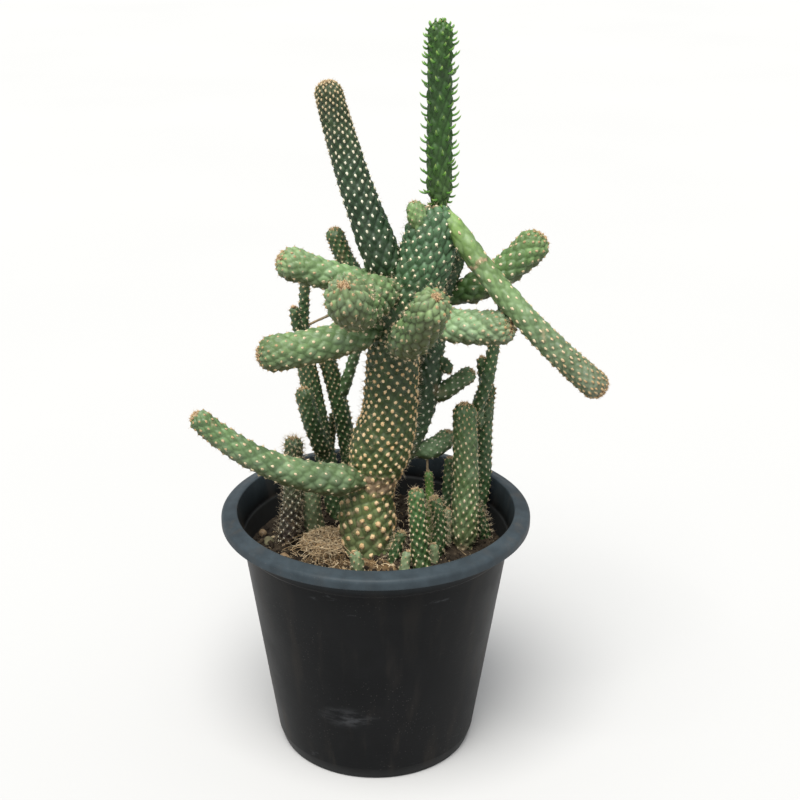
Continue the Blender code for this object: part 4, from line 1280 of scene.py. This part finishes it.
def make_pot():
    """The pot, with where it is rim (for its painted sky reflection), inside and dusty (partly
    painted sheen at its sides).
    """
    points, faces = turned_mesh(pot_profile(), POT_SIDES)
    pot = add_mesh("pot_shell", points, faces, plastic_material())
    cut_drain_holes(pot)
    points = np.array([vertex.co for vertex in pot.data.vertices])
    radius, height = np.hypot(points[:, 0], points[:, 1]), points[:, 2]
    inner = (radius < mouth_radius() - 0.0005) & (radius < wall_radius(height) - 0.6 * WALL)
    lower = 1.0 - np.clip(height / step_height(), 0.0, 1.0)
    beside = np.abs(points[:, 0]) / np.maximum(radius, 0.001)
    # rim marks the painted sky reflection; the dust value is dust towards the foot, and partly
    # painted grazing sheen at the ±x sides.
    values = {"rim": np.where(radius > mouth_radius() - 0.001, 1.0, 0.04),
              "inner": inner, "dust_and_sheen": np.clip(0.05 + 0.10 * lower ** 3 + 0.30 * beside ** 6, 0, 1)}
    add_values(pot.data, values)
    place_piece(pot, "pot_plastic", "pot")


# ---------------------------------------------------------------- soil and what lies on it


def gaps_to_stems(places):
    """For each stem in the soil, how far the places are from its skin."""
    for line in LINES.values():
        if line.stem.root is None:
            foot, girth = line.points[line.buried], line.radii[line.buried]
            yield np.hypot(*(places - foot[:2]).T) - girth


def soil_top(places):
    """Height of the soil's surface at (x, y) places."""
    flat = np.column_stack([places, np.zeros(len(places))])
    radius = np.hypot(places[:, 0], places[:, 1])
    height = 0.0030 * rough(flat, 0.022, 20) + 0.0014 * rough(flat, 0.006, 24)
    height += 0.0006 * rough(flat, 0.0022, 28)
    for gap in gaps_to_stems(places):
        height += 0.0030 * np.exp(-(np.maximum(gap, 0.0) / 0.008) ** 2)
    edge = np.clip((soil_radius() - radius) / 0.010, 0.0, 1.0)
    return soil_height() - 0.0015 + height * (0.35 + 0.65 * edge)


def coir_share(places):
    """How much of the soil is golden coir: most in front and at the left of the trunk."""
    flat = np.column_stack([places, np.zeros(len(places))])
    gap = np.hypot(places[:, 0] + 0.035, places[:, 1] + 0.055)
    return np.clip(1.15 - gap / 0.075 + 0.45 * noise(flat, 0.018, 31), 0.0, 1.0)


def make_soil():
    """The bed of soil, down to the floor of the pot."""
    rings, sides = 90, 400
    radii = np.linspace(0.0, soil_radius(), rings + 1)[1:]
    turns = turns_round(sides)
    places = rings_of(radii, np.zeros(rings), turns)[:, :2]
    top = soil_top(places)
    skirt = FOOT_RADIUS - WALL - SOIL_GAP
    foot_height = FLOOR + SOIL_GAP
    lower = rings_of([skirt, skirt - FOOT_INSET], [FOOT_HEIGHT, foot_height], turns)
    hubs = [(0.0, 0.0, top[:sides].mean()), (0.0, 0.0, foot_height)]
    points = np.vstack([np.column_stack([places, top]), lower, hubs])
    hub = len(points) - 2
    faces = [ring_faces(rings + 2, sides)[:, ::-1], fan_faces(0, sides, hub, True),
             fan_faces((rings + 1) * sides, sides, hub + 1, False)]
    high = np.clip((points[:, 2] - soil_height()) / 0.004, -1.0, 1.0)
    soil = add_mesh("soil_bed", points, faces, soil_material(),
                    {"coir": coir_share(points[:, :2]), "high": high})
    place_piece(soil, "soil_earth", "soil")


def blob(points_round, points_along):
    """Points and faces of a ball, to be pushed out of shape."""
    lifts = np.linspace(-0.5 * math.pi, 0.5 * math.pi, points_along + 2)[1:-1]
    ball = rings_of(np.cos(lifts), np.sin(lifts), turns_round(points_round))
    hub = points_along * points_round
    faces = [ring_faces(points_along, points_round), fan_faces(0, points_round, hub, False),
             fan_faces(hub - points_round, points_round, hub + 1, True)]
    return np.vstack([ball, [(0.0, 0.0, -1.0), (0.0, 0.0, 1.0)]]), faces


def free_places(count, reach, draws):
    """Places on the soil that no stem stands on."""
    radius = reach * np.sqrt(draws.random(count))
    turn = random_turns(draws, count)
    places = np.stack([radius * np.cos(turn), radius * np.sin(turn)], axis=1)
    return places[np.min(list(gaps_to_stems(places)), axis=0) > 0.001]


def make_crumbs(draws):
    """Crumbs over the soil and grains over the root mound."""
    ball, faces = blob(7, 4)
    places = free_places(SOIL_CRUMBS, soil_radius() - 0.003, draws)
    count = len(places)
    sizes = 0.0007 + 0.0022 * draws.random(count) ** 3
    stretch = 0.65 + 0.5 * draws.random((count, 1, 3))
    lumps = 1.0 + 0.22 * draws.standard_normal((count, len(ball), 1))
    middles = np.column_stack([places, soil_top(places) + 0.25 * sizes])
    points = middles[:, None] + ball[None] * sizes[:, None, None] * stretch * lumps
    tone = 0.62 * draws.random(count) + 0.42 * coir_share(places) * draws.random(count)
    tone = np.clip(tone, 0.0, 1.0)
    tone = np.where(draws.random(count) < 0.03, 0.97, tone)
    heap = mound_point(random_turns(draws, MOUND_CRUMBS),
                       draws.uniform(-0.1, 1.5, MOUND_CRUMBS),
                       draws.uniform(0.90, 0.98, (MOUND_CRUMBS, 1)))
    grains = 0.0006 + 0.0012 * draws.random(MOUND_CRUMBS) ** 2
    lumps = 1.0 + 0.22 * draws.standard_normal((MOUND_CRUMBS, len(ball), 1))
    points = np.concatenate([points, heap[:, None] + ball[None] * grains[:, None, None] * lumps])
    tone = np.concatenate([tone, draws.uniform(0.70, 1.0, MOUND_CRUMBS)])
    count += MOUND_CRUMBS
    crumbs = add_mesh("soil_crumbs", points.reshape(-1, 3), copies_of(faces, count, len(ball)),
                      crumb_material(), {"tone": np.repeat(tone, len(ball))})
    place_piece(crumbs, "soil_earth")


def strands(starts, middles, ends, widths, draws):
    """Thin curved threads, each bent over its middle point."""
    t = np.linspace(0.0, 1.0, STRAND_RINGS)[None, :, None]
    line = ((1 - t) ** 2 * starts[:, None] + 2 * t * (1 - t) * middles[:, None]
            + t * t * ends[:, None])
    line += 0.0005 * draws.standard_normal(line.shape)
    way = unit(np.gradient(line, axis=1))
    side = across(way)
    other = np.cross(way, side)
    taper = (1.0 - 0.6 * np.linspace(0.0, 1.0, STRAND_RINGS))[None, :, None]
    rings = []
    for turn in turns_round(STRAND_SIDES):
        outward = math.cos(turn) * side + math.sin(turn) * other
        rings.append(line + outward * widths[:, None, None] * taper)
    points = np.stack(rings, axis=2)
    count, size = len(starts), STRAND_RINGS * STRAND_SIDES
    faces = [ring_faces(STRAND_RINGS, STRAND_SIDES), np.array([[3, 2, 1, 0]]),
             np.array([[size - 4, size - 3, size - 2, size - 1]])]
    tone = np.repeat(draws.random(count), size)
    return points.reshape(-1, 3), copies_of(faces, count, size), {"tone": tone}


def soil_strands(draws):
    """Coir and dry roots that lie over the soil."""
    places = free_places(SOIL_STRANDS, soil_radius() - 0.008, draws)
    places = places[draws.random(len(places)) < 0.12 + 0.75 * coir_share(places)]
    count = len(places)
    turn = random_turns(draws, count)
    reach = (0.004 + 0.016 * draws.random(count) ** 2)[:, None]
    step = np.stack([np.cos(turn), np.sin(turn)], axis=1) * reach
    ends = places + step
    keep = np.hypot(*ends.T) < soil_radius() - 0.003
    places, ends, step, count = places[keep], ends[keep], step[keep], keep.sum()
    bow = np.stack([-step[:, 1], step[:, 0]], axis=1) * draws.uniform(-0.7, 0.7, (count, 1))
    middles = 0.5 * (places + ends) + bow
    lift = 0.0010 + 0.0040 * draws.random(count) ** 2
    return strands(np.column_stack([places, soil_top(places) + 0.0002]),
                   np.column_stack([middles, soil_top(middles) + lift]),
                   np.column_stack([ends, soil_top(ends) + 0.0001]),
                   0.00013 + 0.00028 * draws.random(count) ** 2, draws)


def mound_middle():
    """Middle of the root mound, against the trunk's foot."""
    foot, radius = LINES["trunk"].points[1], LINES["trunk"].radii[1]
    return foot + (radius + MOUND_REACH) * direction(MOUND_SIDE, 0) + [0.0, 0.0, MOUND_LIFT]


def mound_point(turn, lift, swell=1.0):
    """A point over the root mound, by the turn round it and the lift above its middle."""
    local = np.stack([np.cos(lift) * np.cos(turn) * MOUND_SIZE[0],
                      np.cos(lift) * np.sin(turn) * MOUND_SIZE[1],
                      np.sin(lift) * MOUND_SIZE[2]], axis=-1) * swell
    x, y = swung(local[..., 0], local[..., 1], math.radians(MOUND_SIDE))
    return mound_middle() + np.stack([x, y, local[..., 2]], axis=-1)


def make_mound(draws):
    """The matted clump of roots."""
    ball, faces = blob(90, 44)
    lift, turn = np.arcsin(np.clip(ball[:, 2], -1, 1)), np.arctan2(ball[:, 1], ball[:, 0])
    points = mound_point(turn, lift)
    ridges = 1.0 - np.abs(noise(points * [1.0, 1.0, 0.4], 0.0035, 41))
    swell = 0.86 + 0.10 * rough(points, 0.010, 43) + 0.07 * ridges
    points = mound_middle() + (points - mound_middle()) * swell[:, None]
    tone = np.clip(0.4 + 0.5 * noise(points, 0.004, 44), 0.0, 1.0)
    # The mat's colours are partly its own and partly painted light, lightened to make up for the
    # arms' shade on the mound.
    mound = add_mesh("root_mound_body", points, faces,
                     fibre_material("root_mat", (0.50, 0.33, 0.17), (0.84, 0.64, 0.38)),
                     {"tone": tone})
    place_piece(mound, "root_fibre", "root_mound")


def mound_strands(draws):
    """Roots that run over the mound and down into the soil round it."""
    count = MOUND_STRANDS
    turn = random_turns(draws, count)
    lift = draws.uniform(0.0, 1.5, count)
    start = mound_point(turn, lift, 0.97)
    end = mound_point(turn + draws.uniform(-0.8, 0.8, count),
                      np.clip(lift + draws.uniform(-0.5, 0.5, count), -0.1, 1.5), 1.0)
    outer = draws.random(count) < 0.12
    spill = draws.uniform(0.010, 0.030, (count, 1))
    fallen = start + unit(start - mound_middle()) * [1.0, 1.0, 0.0] * spill
    fallen[:, 2] = soil_top(fallen[:, :2]) + 0.0004
    end = np.where(outer[:, None], fallen, end)
    middle = 0.5 * (start + end)
    middle += unit(middle - mound_middle()) * draws.uniform(0.002, 0.006, (count, 1))
    middle += 0.0022 * draws.standard_normal(middle.shape)
    keep = np.hypot(*(end[:, :2] - LINES["trunk"].points[1, :2]).T) > TRUNK_RADIUS
    widths = 0.00014 + 0.00036 * draws.random(count) ** 3
    return strands(start[keep], middle[keep], end[keep], widths[keep], draws)


def make_strands(draws):
    """The loose fibres of the soil and of the root mound."""
    # The straw's colours are partly its own and partly painted light, lightened to make up for the
    # arms' shade on the mound.
    straw = fibre_material("coir_straw", (0.52, 0.35, 0.18), (0.90, 0.74, 0.50))
    for name, made in (("soil_fibres", soil_strands), ("mound_fibres", mound_strands)):
        points, faces, values = made(draws)
        place_piece(add_mesh(name, points, faces, straw, values), "root_fibre")


STONE_COLOURS = (
    ((0.075, 0.068, 0.036), (0.16, 0.145, 0.085)),
    ((0.10, 0.066, 0.036), (0.22, 0.155, 0.090)),
    ((0.17, 0.105, 0.055), (0.34, 0.235, 0.135)),
)


def make_stones():
    """The stones on the soil, each uneven in its own way."""
    ball, faces = blob(40, 22)
    for index, (name, east, north, half_lengths) in enumerate(STONES):
        middle = np.array([east * soil_radius(), north * soil_radius(), soil_height()])
        turn = math.radians(90 * east)
        shape = ball * half_lengths * (0.93 + 0.16 * noise(ball, 0.9, 50 + index))[:, None]
        shape *= (1.0 + 0.03 * noise(ball, 0.25, 60 + index))[:, None]
        x, y = swung(shape[:, 0], shape[:, 1], turn)
        low, high = STONE_COLOURS[index]
        stone = add_mesh(f"{name}_rock", middle + np.stack([x, y, shape[:, 2]], axis=1), faces,
                         stone_material(f"{name}_looks", low, high))
        place_piece(stone, "stone_grit", name)


# ---------------------------------------------------------------- the plant


def make_plant(draws):
    """Every stem's skin, and the wool, spines and leaves of all of them in shared pieces."""
    materials = {}
    shared = {}
    for line in LINES.values():
        stem = line.stem
        key = LOOK_OF.get(stem.name) or LOOK_OF_SKIN[stem.skin]
        look = LOOKS[key]
        if key not in materials:
            materials[key] = skin_material(f"{key}_looks", look)
        skin = make_skin(line)
        spots = areole_spots(skin, look)
        place_piece(skin_mesh(skin, look, spots, materials[key]), stem.skin, stem.name)
        points, normals, onward, shares = shown_spots(skin, look, spots)
        radii = 0.001 * profile_at(look.wool, shares)
        radii *= 0.85 + 0.3 * draws.random(len(radii))
        if look.wool[0] > 0.0:
            cushions = wool_cushions(points, frames_of(normals, onward), radii, look.stretch[0],
                                     shares, draws)
            shared.setdefault(look.wool_kind, []).append(cushions)
        if look.spines:
            spines = spine_clusters(points + normals * (0.4 * radii)[:, None], normals, onward,
                                    look, draws)
            shared.setdefault(look.spine_kind, []).append(spines)
        if look.tuft:
            shared.setdefault("tip_bristles", []).append(tip_tuft(skin, look, draws))
        if stem.name == "arm_tall_right":
            shared.setdefault("leaves", []).append(leaves(points, normals, onward, shares, draws))
    looks = {
        # The tan wool's colours are partly its own and partly painted light, lightened to make up
        # for the arms' shade on the trunk.
        "tan_wool": wool_material("tan_wool_looks", (0.62, 0.39, 0.17), (0.84, 0.61, 0.35),
                                  (0.90, 0.75, 0.52), (0.78, 0.74, 0.58)),
        "cream_wool": wool_material("cream_wool_looks", (0.46, 0.34, 0.18), (0.66, 0.55, 0.37),
                                    (0.74, 0.66, 0.50), (0.32, 0.20, 0.09)),
        "white_wool": wool_material("white_wool_looks", (0.56, 0.52, 0.38), (0.74, 0.71, 0.58),
                                    (0.80, 0.78, 0.68), (0.36, 0.25, 0.11)),
        "pale_spines": spine_material("pale_spine_looks", (0.42, 0.32, 0.19), (0.66, 0.58, 0.42)),
        "tip_bristles": spine_material("bristle_looks", (0.30, 0.165, 0.070), (0.74, 0.52, 0.30)),
        "leaves": leaf_material(),
    }
    slots = {"pale_spines": "twig_bark", "tip_bristles": "twig_bark", "leaves": "leafy_skin"}
    for name, parts in shared.items():
        points, faces, values = merged(parts)
        piece = add_mesh(name, points, faces, looks[name], values)
        place_piece(piece, slots.get(name, "root_fibre"))


# ---------------------------------------------------------------- floor, light and camera


def make_floor():
    """Pale paper, flat round the pot and swept up far away, so that its edge isn't seen."""
    bends = np.radians(np.linspace(0.0, FLOOR_RISE, 10))
    turns = turns_round(96)
    points = rings_of(FLOOR_FLAT + FLOOR_SWEEP * np.sin(bends),
                      FLOOR_SWEEP * (1.0 - np.cos(bends)) - FLOOR_GAP, turns)
    faces = [ring_faces(len(bends), len(turns))[:, ::-1],
             fan_faces(0, len(turns), len(points), True)]
    recipe = Recipe("floor_paper")
    low, high = FLOOR_GREYS
    weave = recipe.noise(0.4, 2.0)
    colour = recipe.ramp(weave, [(0.3, (low, low, low)), (0.7, (high, high, high))])
    add_mesh("studio_floor", np.vstack([points, (0.0, 0.0, -FLOOR_GAP)]), faces,
                      recipe.finish(colour, 0.95, specular=0.0))


def make_light():
    """A pale sky and one sun wide enough for soft shadows."""
    world = bpy.data.worlds.new("studio")
    world.use_nodes = True
    background = world.node_tree.nodes["Background"]
    background.inputs["Color"].default_value = SKY_COLOUR
    background.inputs["Strength"].default_value = SKY_STRENGTH
    bpy.context.scene.world = world
    data = bpy.data.lights.new("softened_sun", "SUN")
    data.energy = SUN_STRENGTH
    data.angle = math.radians(SUN_SPREAD)
    data.color = SUN_COLOUR
    sun = bpy.data.objects.new("softened_sun", data)
    sun.rotation_euler = Vector(SUN_WAY).to_track_quat("-Z", "Y").to_euler()
    bpy.context.scene.collection.objects.link(sun)


def make_camera():
    """The camera, which the scene is seen through."""
    pitch = Matrix.Rotation(0.5 * math.pi + CAMERA_PITCH, 4, "X")
    roll = Matrix.Rotation(CAMERA_ROLL, 4, "Z")
    data = bpy.data.cameras.new("camera")
    data.lens = CAMERA_LENS
    data.sensor_width = SENSOR_WIDTH
    data.clip_end = FARTHEST_SEEN
    camera = bpy.data.objects.new("camera", data)
    camera.matrix_world = Matrix.Translation(CAMERA_PLACE) @ pitch @ roll
    bpy.context.scene.collection.objects.link(camera)
    bpy.context.scene.camera = camera


def grow_all():
    """The line of every stem, by name."""
    lines = {"trunk": grow_trunk()}
    for stem in STEMS:
        lines[stem.name] = grow(stem, lines)
    return lines


bpy.context.scene.view_settings.view_transform = "Standard"
LINES = grow_all()
make_camera()
make_light()
make_floor()
make_pot()
make_soil()
make_crumbs(np.random.default_rng(11))
make_mound(np.random.default_rng(12))
make_strands(np.random.default_rng(13))
make_stones()
make_plant(np.random.default_rng(14))
